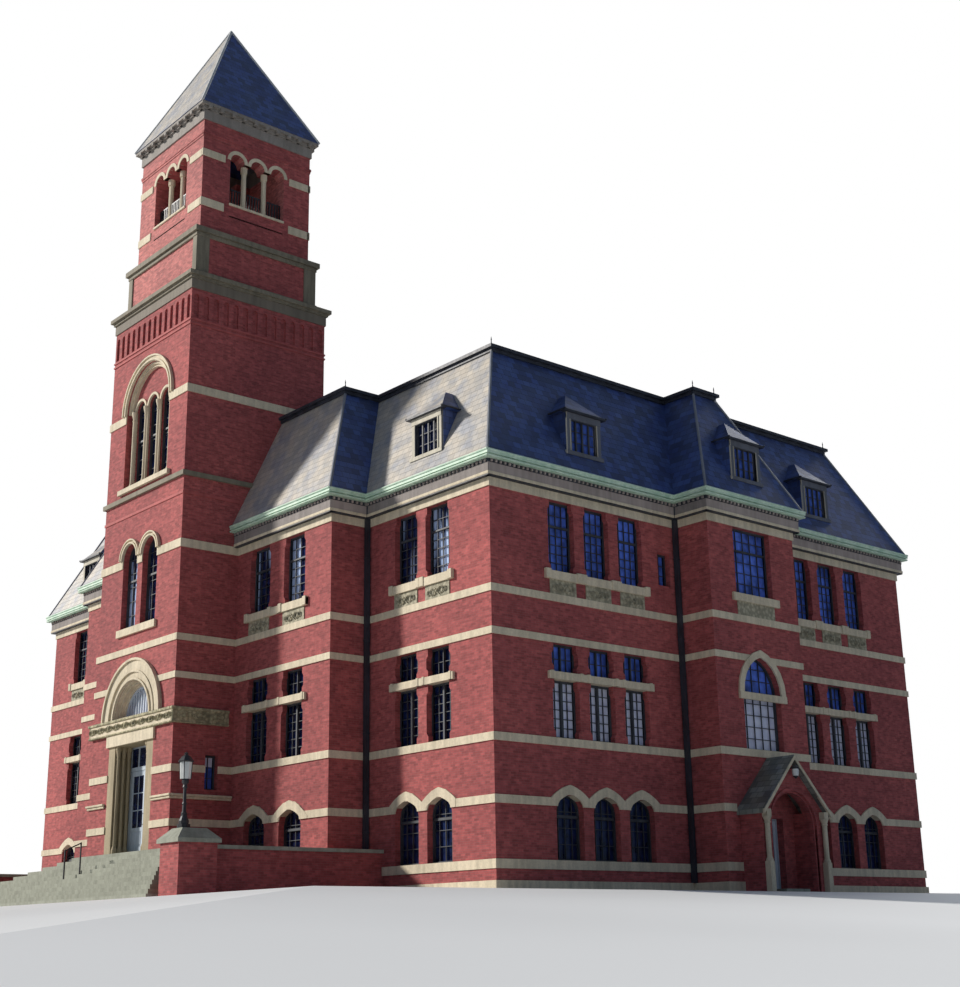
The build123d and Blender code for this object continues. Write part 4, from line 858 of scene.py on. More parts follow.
def square_window(width, bottom, top, columns, rows, rail=0, rows_high=0):
    """A metal window, with thin bars below and above its rail if it has one."""
    size = sizes()
    inner = width - 2 * size.border + size.bar
    low = bottom + size.border
    high = top - size.border
    half = width / 2
    parts = [(low, rail, rows), (rail, high, rows_high)] if rail else [(low, high, rows)]
    pieces = [lattice(width, bottom, top, 1, 1, 2 * size.border, 0.22, 0.1)]
    if rail:
        pieces.append(blocks([((-half, 0.225, rail - 0.04), (half, 0.315, rail + 0.04))]))
    for foot, head, count in parts:
        pieces.append(lattice(inner, foot, head, columns, count, size.bar, 0.26, 0.045))
    return merge(pieces)


class HALL_OT_square_windows(bpy.types.Operator):
    """Metal frames and bars of the square-headed windows"""

    bl_idname = "hall.square_windows"
    bl_label = "Square windows"

    def execute(self, context):
        post = sizes().mullion / 2
        for name, spots, width, reach, limit in WINDOW_SETS:
            window = merge([
                square_window(width, SECOND_SILL, SECOND_HEAD, 4, 5, SECOND_SILL + 1.66, 2),
                square_window(width, TRANSOM_HIGH, FIRST_HEAD, 4, 2),
                square_window(width, FIRST_SILL, TRANSOM_LOW, 4, 6),
                blocks([
                    ((-post, 0.215, FIRST_SILL), (post, 0.325, TRANSOM_LOW)),
                    ((-post / 2, 0.215, TRANSOM_HIGH), (post / 2, 0.325, FIRST_HEAD)),
                ]),
            ])
            finish(window, "window_bars_" + name, "bars", spots)
        bay = square_window(2.1, SECOND_SILL, SECOND_HEAD, 5, 4, SECOND_SILL + 1.7, 2)
        finish(bay, "window_bars_bay", "bars", BAY_SPOTS)
        stair = square_window(0.64, 10.87, 12.1, 2, 3)
        stair_spots = both(along(right(SIDE_FACE), (8.4, 14.762)))
        finish(stair, "window_bars_stair", "bars", stair_spots)
        light = square_window(0.54, 4.1, 5.38, 2, 3)
        light_spots = both(along(right(TOWER_SIDE), (-2.5,)))
        finish(light, "window_bars_tower_side", "bars", light_spots)
        dormer = merge([
            lattice(1.28, 15.14, 16.36, 4, 1, 0.06, 0.08, 0.06),
            lattice(1.28, 15.14, 16.36, 1, 3, 0.025, 0.1, 0.03),
        ])
        finish(dormer, "window_bars_dormer", "bars", DORMER_SPOTS)
        return {"FINISHED"}


def arched_window(half, bottom, spring, rise, columns, rows, depth, rail):
    """A metal window under an arch: bars cut to the arch, with a frame and a rail."""
    size = sizes()
    face = depth - 0.1
    bars = lattice(
        2 * half, bottom, spring + rise, columns, rows, size.bar, depth - 0.07, 0.045
    )
    trim_to_arch(bars, half - 0.02, spring, rise * (half - 0.02) / half)
    edge = arch_ring(half, -size.border, 0.0, face, depth, bottom, spring, rise, 6)
    sill = blocks([((-half, face, bottom), (half, depth, bottom + size.border))])
    across = blocks([((-half, face, rail - 0.05), (half, depth, rail + 0.05))])
    return merge([bars, edge, sill, across])


class HALL_OT_arched_windows(bpy.types.Operator):
    """Metal frames and bars of the arched windows"""

    bl_idname = "hall.arched_windows"
    bl_label = "Arched windows"

    def execute(self, context):
        ground = [(name, spots, width) for name, spots, width, reach, limit in WINDOW_SETS]
        for name, spots, width in ground + [("bay", BAY_PAIR_SPOTS, BAY_WINDOW_WIDTH)]:
            bars = arched_window(
                width / 2, GROUND_SILL, GROUND_SPRING, GROUND_RISE, 4, 4, GLASS_DEPTH, 2.45
            )
            finish(bars, "ground_bars_" + name, "bars", spots)
        bay = arched_window(1.05, FIRST_SILL, 6.993, 1.35, 5, 8, GLASS_DEPTH, 6.87)
        finish(bay, "arch_bars_bay", "bars", BAY_SPOTS)
        pair = arched_window(
            PAIR_HALF, SECOND_SILL, PAIR_SPRING, PAIR_HALF, 3, 6, GLASS_DEPTH, 12.6
        )
        finish(pair, "arch_bars_tower", "bars", TOWER_PAIR_SPOTS)
        lancet = arched_window(
            LANCET_HALF, LANCET_FOOT, LANCET_SPRING, LANCET_HALF, 2, 6, 0.48, 18.6
        )
        finish(lancet, "lancet_bars", "bars", LANCET_SPOTS)
        return {"FINISHED"}


def shoulders(width, bottom, top, reach=0.085):
    """Brick shoulders that narrow an opening at its head and at its foot."""
    half = width / 2
    pieces = []
    for side in (-1, 1):
        edge = side * half
        inner = side * (half - reach)
        for level, near, far in ((top, -0.24, -0.36), (bottom, 0.2, 0.3)):
            pieces.append(plate(
                [(edge, level), (inner, level), (inner, level + near), (edge, level + far)],
                0.002, 0.2,
            ))
    return merge(pieces)


def leaf_spray(width, height, lift, spot):
    """Generic carved foliage: a rosette between two curled leaves."""
    select_none()
    bpy.ops.mesh.primitive_cone_add(
        vertices=8, radius1=height * 0.2, radius2=height * 0.08, depth=lift,
        location=(0, -lift / 2, 0), rotation=(pi / 2, 0, 0),
    )
    pieces = [bpy.context.object]
    for side in (-1, 1):
        for ratio, size in ((0.21, 0.27), (0.38, 0.2)):
            select_none()
            bpy.ops.mesh.primitive_torus_add(
                major_segments=10, minor_segments=4, major_radius=height * size,
                minor_radius=height * 0.055,
                location=(side * width * ratio, -lift * 0.4, side * height * 0.1 * ratio),
                rotation=(pi / 2, 0, 0),
            )
            pieces.append(bpy.context.object)
        for rise, lean in ((-0.26, 130), (0.26, 50)):
            select_none()
            bpy.ops.mesh.primitive_cone_add(
                vertices=5, radius1=height * 0.1, radius2=0.004, depth=height * 0.36,
                location=(side * width * 0.1, -lift * 0.4, rise * height),
                rotation=(0, side * radians(lean), 0),
            )
            pieces.append(bpy.context.object)
    for piece in pieces:
        apply_place(piece)
    spray = merge(pieces)
    spray.data.transform(Matrix.Translation(spot))
    return spray


class HALL_OT_window_dressing(bpy.types.Operator):
    """Shoulders, sill blocks and carved aprons of the main block's windows"""

    bl_idname = "hall.window_dressing"
    bl_label = "Window dressing"

    def execute(self, context):
        for name, spots, width, reach, limit in WINDOW_SETS:
            brick = merge([
                shoulders(width, SECOND_SILL, SECOND_HEAD),
                shoulders(width, TRANSOM_HIGH, FIRST_HEAD),
                shoulders(width, FIRST_SILL, TRANSOM_LOW),
            ])
            finish(brick, "shoulders_" + name, "brick", spots)
            half = width / 2
            sills = blocks(sided([
                ((half, -0.13, SECOND_SILL - 0.285), (half + reach, 0.05, SECOND_SILL + 0.05)),
                ((half, -0.12, TRANSOM_LOW), (half + 0.13, 0.05, TRANSOM_HIGH + 0.03)),
            ]) + [((-half, 0.02, TRANSOM_LOW), (half, 0.3, TRANSOM_HIGH))])
            finish(sills, "sill_blocks_" + name, "stone", spots)
            spray = leaf_spray(width * 0.86, 0.42, 0.07, (0, -0.03, 10.05))
            finish(spray, "apron_carving_" + name, "apron", spots)
        return {"FINISHED"}


# The plan's outline from the tower's right side round to the rear's middle
PLAN = (
    (3.209, MIDDLE_FACE, "front"), (9.533, MIDDLE_FACE, "right"), (9.533, 0.0, "front"),
    (16.316, 0.0, "right"), (16.316, 9.112, "front"), (17.88, 9.112, "right"),
    (17.88, 14.05, "rear"), (16.316, 14.05, "right"), (16.316, 23.162, "rear"),
    (9.533, 23.162, "right"), (9.533, 24.786, "rear"), (0.0, 24.786, "end"),
)
OUTWARD = {"front": Vector((0, -1)), "right": Vector((1, 0)), "rear": Vector((0, 1)),
           "end": Vector((0, 0))}
# Pairs of sides that meet at a corner, and the corner's way along Y
OUTER_CORNERS = {("front", "right"): -1, ("right", "rear"): 1}
INNER_CORNERS = {("right", "front"): -1, ("rear", "right"): 1}


def plan_corners(kinds):
    """The outline's corners of the given kinds, each with its way along Y."""
    pairs = zip(PLAN, PLAN[1:])
    return [(x, y, kinds[before, after]) for (_, _, before), (x, y, after) in pairs
            if (before, after) in kinds]


def plan_runs(reach):
    """Each straight run of the right half's outline, moved out by reach, with its outward way."""
    ways = [Vector((0, 0))] + [OUTWARD[side] for x, y, side in PLAN]
    corners = [Vector((x, y)) + (ways[i] + ways[i + 1]) * reach
               for i, (x, y, side) in enumerate(PLAN)]
    return list(zip(corners, corners[1:], ways[1:]))


def run_blocks(reach, depth, low, high):
    """Blocks along every run, whose faces stand out by reach; their ends stop just short."""
    boxes = []
    for start, end, out in plan_runs(reach):
        short = (end - start).normalized() * 0.004
        boxes.append(((*(start + short - out * depth), low), (*(end - short), high)))
    return boxes


class HALL_OT_hoods(bpy.types.Operator):
    """Pointed stone hoods over the ground windows"""

    bl_idname = "hall.hoods"
    bl_label = "Window hoods"

    def execute(self, context):
        bay = ("bay", BAY_PAIR_SPOTS, BAY_WINDOW_WIDTH, 0.0, 1.2)
        for name, spots, width, reach, limit in (*WINDOW_SETS, bay):
            hood = arch_ring(
                width / 2, 0.0, 0.29, -0.055, 0.29, HOOD_BOTTOM, HOOD_SPRING, HOOD_RISE, 8,
                HOOD_BULGE,
            )
            finish(clip_sides(hood, limit), "window_hoods_" + name, "stone", spots)
        return {"FINISHED"}


class HALL_OT_cornice(bpy.types.Operator):
    """Dentils, mouldings, the gutter's rolled lip round the eaves, and dark strips of painted
    shadow
    """

    bl_idname = "hall.cornice"
    bl_label = "Cornice"

    def execute(self, context):
        size = sizes()
        rows = []
        for start, end, out in plan_runs(0.19):
            run = end - start
            way = run.normalized()
            count = max(2, int(run.length / size.dentil_pitch))
            gap = run.length / count
            low = start + way * (gap / 2 - size.dentil / 2)
            high = start + out * 0.09 + way * (gap / 2 + size.dentil / 2)
            block = blocks([((*low, 13.91), (*high, 14.0))], 0.008)
            array = block.modifiers.new("Row", "ARRAY")
            array.use_relative_offset = False
            array.use_constant_offset = True
            array.constant_offset_displace = (way.x * gap, way.y * gap, 0)
            array.count = count
            bpy.ops.object.modifier_apply(modifier=array.name)
            rows.append(block)
        lips = [
            rod((*start, level), (*end, level), radius, 8)
            for level, reach, radius in ((14.255, 0.425, 0.04), (14.06, 0.4, 0.035))
            for start, end, out in plan_runs(reach)
        ]
        band = blocks(run_blocks(0.24, 0.1, FRIEZE + 0.002, FRIEZE + 0.11), 0.012)
        facing = blocks(run_blocks(0.215, 0.08, FRIEZE + 0.1, 13.88), 0.01)
        # Painted shadow: dark strips under the cream band and behind the dentils.
        shadows = blocks(run_blocks(0.225, 0.17, FRIEZE - 0.035, FRIEZE)
                         + run_blocks(0.226, 0.08, 13.885, 14.015), 0.003)
        finish(merge(rows), "dentils", "frieze", HALVES)
        finish(band, "frieze_band", "stone", HALVES)
        finish(facing, "frieze_facing", "frieze", HALVES)
        finish(merge(lips), "gutter_rolls", "copper", HALVES)
        finish(shadows, "cornice_painted_shadow", "dark", HALVES)
        return {"FINISHED"}


class HALL_OT_roof_trim(bpy.types.Operator):
    """Hip rolls, the roof edge's cap and spikes, and the dormers' boards"""

    bl_idname = "hall.roof_trim"
    bl_label = "Roof trim"

    def execute(self, context):
        hips = []
        spikes = []
        out = 0.34
        back = 1.84
        for x, y, side in plan_corners(OUTER_CORNERS):
            foot = (x + out, y + side * out, ROOF_FOOT)
            top = (x - back, y - side * back, ROOF_TOP)
            hips.append(rod(foot, top, sizes().hip))
            spikes.append(turned(
                top[:2],
                [(0.05, 19.2), (0.025, 19.3), (0.015, 19.42), (0.025, 19.45), (0.006, 19.58)], 6,
            ))
        caps = blocks(run_blocks(-1.76, 0.17, 19.225, 19.275), 0.01)
        finish(merge(hips), "roof_hips", "hips", HALVES)
        finish(merge(spikes), "roof_spikes", "dark", HALVES)
        finish(caps, "roof_edge_cap", "pale", HALVES)
        boards = blocks(sided([
            ((0.63, 0.0, 15.0), (0.85, 0.08, 16.6)), ((0.63, -0.03, 15.15), (0.7, 0.1, 16.35)),
        ]) + [
            ((-0.85, -0.02, 16.35), (0.85, 0.08, 16.6)),
            ((-0.92, -0.06, 15.0), (0.92, 0.1, 15.15)),
        ])
        finish(boards, "dormer_boards", "frames", DORMER_SPOTS)
        eaves = blocks(sided([((0.98, -0.16, 16.62), (1.05, 1.6, 16.68))])
                       + [((-1.03, -0.14, 16.58), (1.03, 0.1, 16.66))])
        finish(eaves, "dormer_eaves", "dark", DORMER_SPOTS)
        cheeks = blocks(sided([((0.85, 0.05, 15.0), (0.875, 1.6, 16.6))]), 0.004)
        finish(cheeks, "dormer_cheeks", "slate", DORMER_SPOTS)
        return {"FINISHED"}


class HALL_OT_tower(bpy.types.Operator):
    """Arches, shafts, pilasters and bands of the tower's shaft and stage"""

    bl_idname = "hall.tower"
    bl_label = "Tower dressing"

    def execute(self, context):
        orders = merge([
            rings(BIG_ARCH_HALF, BIG_ARCH_SPRING, 12,
                  [(-0.11, 0.0, 0.06, 0.285), (-0.2, -0.11, 0.14, 0.285)]),
            rings(BIG_ARCH_HALF, BIG_ARCH_SPRING, 12,
                  [(0.02, 0.09, -0.1, 0.05), (0.2, 0.27, -0.12, 0.05)], 19.78),
        ])
        finish(orders, "big_arch_orders", "stone", TOWER_SPOT)
        surround = rings(LANCET_HALF, LANCET_SPRING, 6, [(0.0, 0.1, 0.2, 0.31)], LANCET_FOOT)
        finish(surround, "lancet_surrounds", "stone", LANCET_SPOTS)
        shaft = turned((0, 0.2), [
            (0.1, 16.56), (0.1, 16.7), (0.075, 16.78), (0.06, 16.84), (0.06, 19.5),
            (0.085, 19.54), (0.06, 19.58), (0.11, 19.8), (0.12, 19.84), (0.12, 19.92),
        ])
        shaft_spots = along(front(TOWER_FACE), (-1.53, -0.525, 0.525, 1.53))
        finish(shaft, "lancet_shafts", "stone", shaft_spots)
        pair = rings(PAIR_HALF, PAIR_SPRING, 8,
                     [(0.0, 0.07, -0.12, 0.06), (0.14, 0.2, -0.13, 0.0)])
        finish(pair, "pair_rings", "stone", TOWER_PAIR_SPOTS)

        half = STAGE_HALF
        stage = sided([
            ((half - 0.3, TOWER_MIDDLE + way * (half - 0.55), 24.585),
             (half + 0.05, TOWER_MIDDLE + way * (half + 0.05), 26.59)) for way in (-1, 1)
        ])
        for low, high, reach in ((24.58, 24.86, 0.1), (26.42, 26.6, 0.08)):
            stage += sided([((half, TOWER_MIDDLE - half, low),
                             (half + reach, TOWER_MIDDLE + half, high))])
            stage += [((-half - reach, TOWER_MIDDLE + way * half, low),
                       (half + reach, TOWER_MIDDLE + way * (half + reach), high))
                      for way in (-1, 1)]
        finish(blocks(stage, 0.02), "stage_pilasters", "weathered")
        base = []
        for low, high, reach in ((3.73, 3.82, 0.07), (3.82, 3.909, 0.12)):
            base += sided([
                ((TOWER_SIDE, TOWER_FACE, low), (TOWER_SIDE + reach, MIDDLE_FACE, high)),
                ((1.86, TOWER_FACE - reach, low), (TOWER_SIDE + reach, TOWER_FACE, high)),
            ])
        finish(blocks(base, 0.02), "tower_base_moulding", "stone")
        return {"FINISHED"}


class HALL_OT_portal(bpy.types.Operator):
    """The portal's arch, carved band, jamb shafts and fanlight"""

    bl_idname = "hall.portal"
    bl_label = "Portal"

    def execute(self, context):
        orders = rings(PORTAL_HALF, PORTAL_SPRING, 10, [
            (-0.05, 0.0, 0.012, 0.5), (-0.12, 0.0, 0.14, 0.5), (-0.22, -0.12, 0.3, 0.5),
            (0.0, 0.08, -0.12, 0.1), (0.3, 0.38, -0.13, 0.0), (0.76, 0.85, -0.16, 0.0),
        ])
        finish(orders, "portal_orders", "stone", TOWER_SPOT)
        soffit = blocks([((-1.24, 0.0, 6.022), (1.24, 0.69, 6.034))], 0.002)
        finish(soffit, "portal_soffit", "jambs", TOWER_SPOT)
        bars = blocks([((x - 0.03, 0.4, 7.03), (x + 0.03, 0.46, 8.5))
                       for x in [i * 0.2 - 1.1 for i in range(12)]], 0.006)
        trim_to_arch(bars, 1.28, PORTAL_SPRING, 1.28)
        ring = rings(PORTAL_HALF, PORTAL_SPRING, 10, [(-0.3, -0.22, 0.36, 0.49)])
        sill = blocks([((-1.25, 0.34, PORTAL_SPRING), (1.25, 0.49, 7.1))])
        finish(merge([bars, ring, sill]), "fanlight_bars", "door", TOWER_SPOT)
        shaft = turned((0, 0), [
            (0.11, 1.96), (0.11, 2.12), (0.08, 2.22), (0.06, 2.28), (0.06, 5.5),
            (0.08, 5.54), (0.06, 5.58), (0.1, 5.86), (0.12, 5.9), (0.12, 6.03),
        ])
        shaft_spots = [Matrix.Translation((x, TOWER_FACE + depth, 0))
                       for x in (-1.17, 1.17) for depth in (0.12, 0.34, 0.56)]
        finish(shaft, "portal_shafts", "jambs", shaft_spots)
        band = []
        for low, high, reach in ((6.504, PORTAL_SPRING, 0.12), (6.95, 7.06, 0.17),
                                 (6.47, 6.54, 0.15)):
            band.append(((TOWER_SIDE, TOWER_FACE - reach, low),
                         (TOWER_SIDE + reach, MIDDLE_FACE - 0.25, high)))
            if reach > 0.12:
                band.append(((0, TOWER_FACE - reach, low), (TOWER_SIDE, TOWER_FACE, high)))
        finish(blocks(sided(band), 0.02), "portal_band", "carving")
        spray = leaf_spray(0.62, 0.36, 0.06, (0, -0.12, 6.76))
        spray_spots = along(front(TOWER_FACE), [i * 0.66 - 2.97 for i in range(10)])
        spray_spots += both(along(right(TOWER_SIDE), (-3.75, -3.1, -2.45)))
        finish(spray, "portal_carving", "carving", spray_spots)
        return {"FINISHED"}


def four_sides(half):
    """The four faces of the belfry."""
    centre = Matrix.Translation((0, TOWER_MIDDLE, 0))
    return [centre @ Matrix.Rotation(turn * pi / 2, 4, "Z") @ Matrix.Translation((0, -half, 0))
            for turn in range(4)]


class HALL_OT_belfry(bpy.types.Operator):
    """Bands, arch rings and brackets of the belfry, and the spire's hips"""

    bl_idname = "hall.belfry"
    bl_label = "Belfry"

    def execute(self, context):
        half = BELFRY_HALF
        faces = four_sides(half)
        bands = []
        for low, high in ((30.268, 30.6), (27.972, 28.336)):
            bands.append(((-half - 0.04, -0.04, low), (-1.6, 0.1, high)))
            bands.append(((1.6, -0.04, low), (half, 0.1, high)))
        finish(blocks(bands), "belfry_bands", "stone", faces)
        ring = rings(0.34, 30.5, 8, [(0.0, 0.155, -0.03, 0.15)])
        arch_spots = [spot for face in faces for spot in along(face, (-1.0, 0, 1.0))]
        finish(ring, "belfry_rings", "stone", arch_spots)
        corbels = blocks([((-half - 0.03, -0.03, 31.2), (half, 0.05, 31.3)),
                          ((-half - 0.055, -0.055, 31.3), (half, 0.05, 31.42))])
        finish(corbels, "belfry_corbels", "high_brick", faces)
        brackets = blocks([((x - 0.09, 0.02, 32.42), (x + 0.09, 0.3, 32.6))
                           for x in [i * 0.56 - 2.52 for i in range(10)]], 0.02)
        finish(brackets, "eaves_brackets", "eaves", four_sides(SPIRE_HALF))
        sill = blocks([((-1.36, -0.06, 28.36), (1.36, 0.3, 28.46)),
                       ((-1.344, 0.0, 27.82), (1.344, 0.05, 27.9))])
        finish(sill, "belfry_sills", "stone", faces)
        hips = [rod((x, TOWER_MIDDLE + y, 32.69), (0, TOWER_MIDDLE, 38.72), 0.06)
                for x in (-2.95, 2.95) for y in (-2.95, 2.95)]
        hips.append(turned(
            (0, TOWER_MIDDLE), [(0.12, 38.4), (0.1, 38.6), (0.05, 38.7), (0.02, 38.78)], 8
        ))
        finish(merge(hips), "spire_hips", "pale")
        return {"FINISHED"}


def door_leaf(x0, x1, bottom, top, face, back, glass_from, stile):
    """A panelled door leaf: stiles, rails, raised panels and bars, round its glass."""
    inner0, inner1 = x0 + stile, x1 - stile
    middle = (x0 + x1) / 2
    pieces = [
        ((x0, face, bottom), (inner0, back, top)),
        ((inner1, face, bottom), (x1, back, top)),
        ((inner0, face, bottom), (inner1, back, bottom + 0.28)),
        ((inner0, face, glass_from - 0.14), (inner1, back, glass_from)),
        ((inner0, face, top - stile), (inner1, back, top)),
        ((inner0, face + 0.02, bottom + 0.28), (inner1, back - 0.02, glass_from - 0.14)),
        ((inner0 + 0.08, face + 0.006, bottom + 0.36),
         (inner1 - 0.08, back - 0.006, glass_from - 0.22)),
        ((middle - 0.02, face + 0.015, glass_from), (middle + 0.02, back - 0.015, top - stile)),
    ]
    step = (top - stile - glass_from) / 3
    for level in (glass_from + step, glass_from + 2 * step):
        pieces.append(((inner0, face + 0.015, level - 0.02), (inner1, back - 0.015, level + 0.02)))
    return blocks(pieces, 0.005)


class HALL_OT_doors(bpy.types.Operator):
    """Panelled leaves, their glass, handles and mouldings"""

    bl_idname = "hall.doors"
    bl_label = "Doors"

    def execute(self, context):
        face, back = -3.437, -3.367
        for name, place in (("right", [Matrix.Identity(4)]), ("left", [MIRROR])):
            body = "front_door_" + name + "_leaf"
            leaf = door_leaf(0.008, 1.192, 1.958, 5.092, face, back, 2.95, 0.19)
            leaf = finish(leaf, "door_leaf_" + name, "door", place, body)
            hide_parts("front_door_" + name)
            glass = blocks([((0.19, -3.412, 2.94), (1.01, -3.392, 4.91))], 0.002)
            finish(glass, "door_glass_" + name, "glass", place, body)
            handle = merge(
                [rod((0.1, -3.49, 3.0), (0.1, -3.49, 3.5), 0.014, 8)]
                + [rod((0.1, -3.49, z), (0.1, face, z), 0.01, 8) for z in (3.05, 3.45)]
            )
            finish(handle, "door_pull_" + name, "dark", place, body)
        leaf = door_leaf(-0.592, 0.592, 0.158, 2.542, 0.3, 0.37, 1.1, 0.15)
        leaf = finish(leaf, "side_door_leaf_panels", "door", SIDE_DOOR_SPOT, "side_door_leaf")
        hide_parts("side_door")
        glass = blocks([((-0.45, 0.325, 1.09), (0.45, 0.345, 2.4))], 0.002)
        finish(glass, "side_door_glass", "glass", SIDE_DOOR_SPOT, "side_door_leaf")
        transom = lattice(2.44, 5.22, 5.99, 4, 1, 0.05, 0.69, 0.04)
        finish(transom, "door_light_bars", "door", TOWER_SPOT)
        return {"FINISHED"}


class HALL_OT_porch(bpy.types.Operator):
    """The side porch's copings, arch ring, column ends and wall lamp"""

    bl_idname = "hall.porch"
    bl_label = "Side porch"

    def execute(self, context):
        place = along(right(18.86), (BAY_CENTRE,))
        ring = rings(1.25, 2.23, 10, [(0.0, 0.09, -0.04, 0.12), (-0.08, 0.0, 0.05, 0.24)], 0.0)
        finish(ring, "porch_arch_ring", "brick", place)
        coping = merge([
            plate([(0, 4.55), (0, 4.68), (x, 2.76), (x, 2.6)], -0.26, -0.18)
            for x in (-1.86, 1.86)
        ])
        finish(coping, "porch_verge", "stone", place)
        ends = []
        for spot in ((-1.585, -0.115), (1.585, -0.115)):
            ends.append(turned(spot, [(0.13, 1.04), (0.13, 1.1), (0.1, 1.16), (0.094, 1.2)]))
            ends.append(turned(spot, [(0.094, 2.3), (0.12, 2.34), (0.1, 2.38), (0.15, 2.5),
                                      (0.16, 2.54)]))
        finish(merge(ends), "porch_capitals", "stone", place)
        spot = (-0.075, -0.3)
        lamp = merge([
            rod((spot[0], 0.0, 4.22), (*spot, 4.3), 0.02),
            turned(spot, [(0.03, 4.34), (0.14, 4.26), (0.14, 4.22), (0.12, 4.2)], 8),
            turned(spot, [(0.09, 3.96), (0.1, 3.94), (0.05, 3.9), (0.015, 3.86)], 8),
        ])
        finish(lamp, "porch_lamp", "iron", place)
        globe = turned(spot, [(0.09, 3.96), (0.115, 4.05), (0.12, 4.14), (0.11, 4.2)], 8)
        finish(globe, "porch_lamp_glass", "lantern", place)
        return {"FINISHED"}


class HALL_OT_ironwork(bpy.types.Operator):
    """Lamp standards' ornament, pipe brackets and rain heads"""

    bl_idname = "hall.ironwork"
    bl_label = "Ironwork"

    def execute(self, context):
        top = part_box("ironwork")[1][2]
        x, y = spot = (10.274, -7.547)
        foot = 2.1
        base = turned(spot, [(radius, foot + level) for radius, level in (
            (0.19, 0.0), (0.19, 0.07), (0.15, 0.12), (0.16, 0.22), (0.08, 0.4), (0.1, 0.45),
            (0.065, 0.5), (0.058, 0.7), (0.08, 0.74), (0.055, 0.8), (0.052, 1.2), (0.08, 1.25),
            (0.06, 1.32), (0.12, 1.42),
        )])
        bars = [rod((x + 0.12 * sx, y + 0.12 * sy, foot + 1.5),
                    (x + 0.145 * sx, y + 0.145 * sy, foot + 2.02), 0.015)
                for sx in (-1, 1) for sy in (-1, 1)]
        finial = turned(spot, [
            (0.24, foot + 2.02), (0.25, foot + 2.06), (0.14, foot + 2.2), (0.05, foot + 2.26),
            (0.07, foot + 2.3), (0.01, top + 0.02),
        ], 8)
        finish(merge([base, finial] + bars), "lamp_standards", "iron", HALVES)
        panes = turned(spot, [(0.17, foot + 1.5), (0.2, foot + 2.02)], 8)
        finish(panes, "lamp_panes", "lantern", HALVES)
        brackets = []
        for x, y, way in plan_corners(INNER_CORNERS):
            for level in (2.2, 5.6, 8.9, 11.9):
                brackets.append(((x + 0.03, y + way * 0.03, level),
                                 (x + 0.22, y + way * 0.22, level + 0.07)))
            brackets.append(((x + 0.02, y + way * 0.01, 13.55), (x + 0.26, y + way * 0.24, 13.95)))
        finish(blocks(brackets), "pipe_brackets", "dark", HALVES)
        return {"FINISHED"}


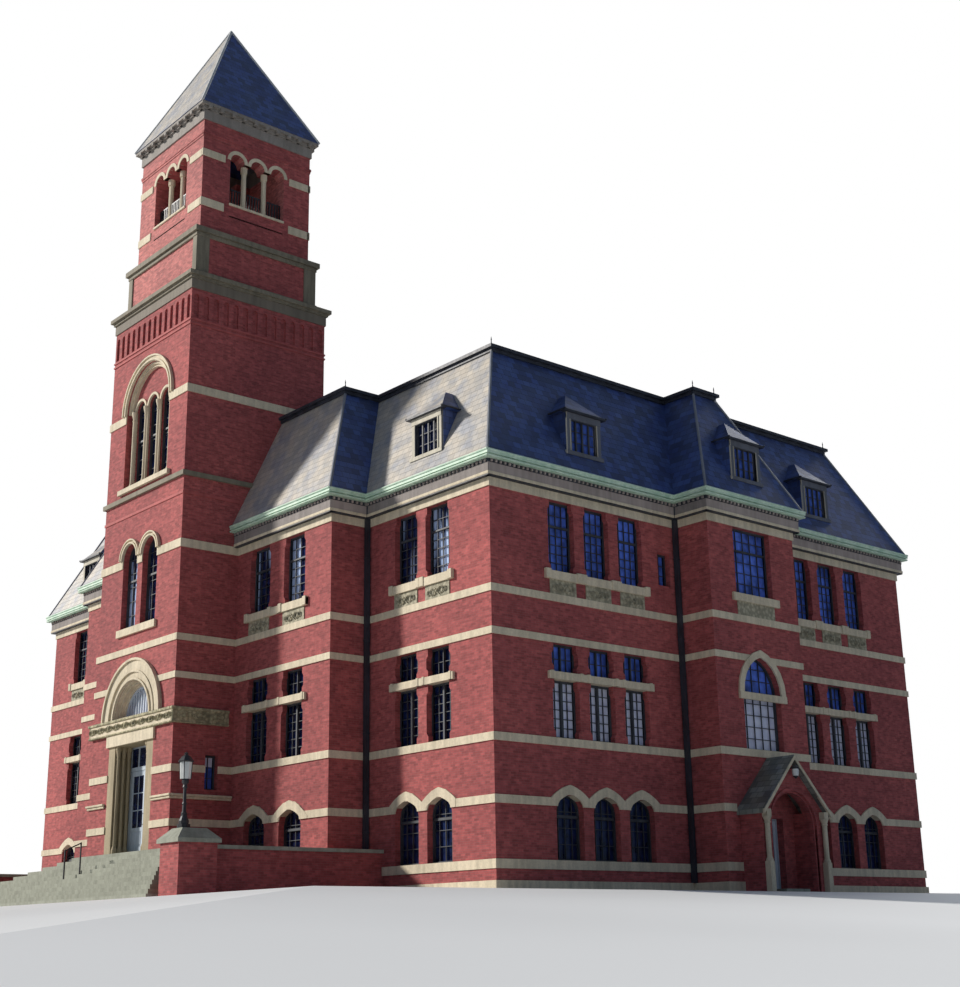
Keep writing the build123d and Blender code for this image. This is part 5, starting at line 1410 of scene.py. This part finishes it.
class HALL_OT_stage(bpy.types.Operator):
    """A pale floor that falls away, soft studio light and the photograph's camera"""

    bl_idname = "hall.stage"
    bl_label = "Stage"

    def execute(self, context):
        scene = context.scene
        low, high = cad_box
        reach = 260.0
        margin = 1.0
        drop = 0.085 * reach
        select_none()
        bpy.ops.mesh.primitive_plane_add(
            size=1, location=((low[0] + high[0]) / 2, (low[1] + high[1]) / 2, -drop)
        )
        floor = context.object
        floor.name = "studio_floor"
        floor.scale = (high[0] - low[0] + 2 * (margin + reach),
                       high[1] - low[1] + 2 * (margin + reach), 1)
        apply_place(floor)
        edit(floor)
        bpy.ops.mesh.inset(thickness=reach)
        bpy.ops.transform.translate(value=(0, 0, drop))
        leave()
        paint = Paint("studio_floor", Roughness=0.9)
        paint.feed("Base Color", paint.ramp(
            paint.noise(0.05, 2.0),
            (0.3, colour((0.74, 0.74, 0.73))), (0.7, colour((0.8, 0.8, 0.79))),
        ))
        floor.data.materials.append(paint.material)

        # Blue light from all round; the camera sees white behind the building
        scene.world = bpy.data.worlds.new("studio")
        scene.world.use_nodes = True
        tree = scene.world.node_tree
        sky = tree.nodes["Background"]
        sky.inputs["Color"].default_value = (0.55, 0.72, 1.0, 1.0)
        sky.inputs["Strength"].default_value = 0.22
        shown = tree.nodes.new("ShaderNodeBackground")
        shown.inputs["Color"].default_value = WHITE
        rays = tree.nodes.new("ShaderNodeLightPath")
        either = tree.nodes.new("ShaderNodeMath")
        either.operation = "MAXIMUM"
        blend = tree.nodes.new("ShaderNodeMixShader")
        for source, target in (
            (rays.outputs["Is Camera Ray"], either.inputs[0]),
            (rays.outputs["Is Transmission Ray"], either.inputs[1]),
            (either.outputs[0], blend.inputs[0]),
            (sky.outputs[0], blend.inputs[1]),
            (shown.outputs[0], blend.inputs[2]),
            (blend.outputs[0], tree.nodes["World Output"].inputs["Surface"]),
        ):
            tree.links.new(source, target)

        # Name, place, direction, strength, angle in degrees and colour
        for name, place, way, power, angle, tint in (
            ("studio_key", (-40, -60, 60), (0.72, 0.565, -0.42), 4.5, 6, (1.0, 0.96, 0.9)),
            ("studio_fill", (-30, 70, 60), (0.35, -0.85, -0.4), 1.3, 30, (1.0, 1.0, 1.0)),
        ):
            select_none()
            bpy.ops.object.light_add(type="SUN", location=place)
            sun = context.object
            sun.name = name
            sun.data.energy = power
            sun.data.angle = radians(angle)
            sun.data.color = tint
            sun.rotation_euler = Vector(way).to_track_quat("-Z", "Y").to_euler()

        bpy.ops.object.camera_add(location=(51.87, -31.03, -1.36))
        camera = context.object
        camera.name = "studio_camera"
        turn = (Matrix.Rotation(radians(49.26), 4, "Z")
                @ Matrix.Rotation(radians(90 + 16.77), 4, "X")
                @ Matrix.Rotation(radians(-0.97), 4, "Z"))
        camera.rotation_euler = turn.to_euler()
        camera.data.sensor_fit = "VERTICAL"
        camera.data.sensor_height = 36.0
        # A focal length of 1,481 pixels in a photograph 987 pixels high
        camera.data.lens = 1481.0 / 987.0 * 36.0
        camera.data.clip_end = 2000.0
        scene.camera = camera
        scene.view_settings.view_transform = "Standard"
        return {"FINISHED"}


OPERATORS = (
    HALL_OT_finishes, HALL_OT_square_windows, HALL_OT_arched_windows, HALL_OT_window_dressing,
    HALL_OT_hoods, HALL_OT_cornice, HALL_OT_roof_trim, HALL_OT_tower, HALL_OT_portal,
    HALL_OT_belfry, HALL_OT_doors, HALL_OT_porch, HALL_OT_ironwork, HALL_OT_stage,
)


class HALL_PT_panel(bpy.types.Panel):
    """Lists the town hall's sizes, colours and pieces"""

    bl_idname = "HALL_PT_panel"
    bl_label = "Town Hall"
    bl_space_type = "VIEW_3D"
    bl_region_type = "UI"
    bl_category = "Town Hall"

    def draw(self, context):
        for group in (context.scene.hall_sizes, context.scene.hall_colours):
            for name in group.bl_rna.properties.keys():
                if name not in ("rna_type", "name"):
                    self.layout.prop(group, name)
        for operator in OPERATORS:
            self.layout.operator(operator.bl_idname)


CLASSES = (HallSizes, HallColours, *OPERATORS, HALL_PT_panel)


def register():
    for cls in CLASSES:
        bpy.utils.register_class(cls)
    bpy.types.Scene.hall_sizes = bpy.props.PointerProperty(type=HallSizes)
    bpy.types.Scene.hall_colours = bpy.props.PointerProperty(type=HallColours)


def unregister():
    del bpy.types.Scene.hall_colours
    del bpy.types.Scene.hall_sizes
    for cls in reversed(CLASSES):
        bpy.utils.unregister_class(cls)


def main():
    register()
    for operator in OPERATORS:
        getattr(bpy.ops.hall, operator.bl_idname.split(".")[1])()


if __name__ == "__main__":
    main()
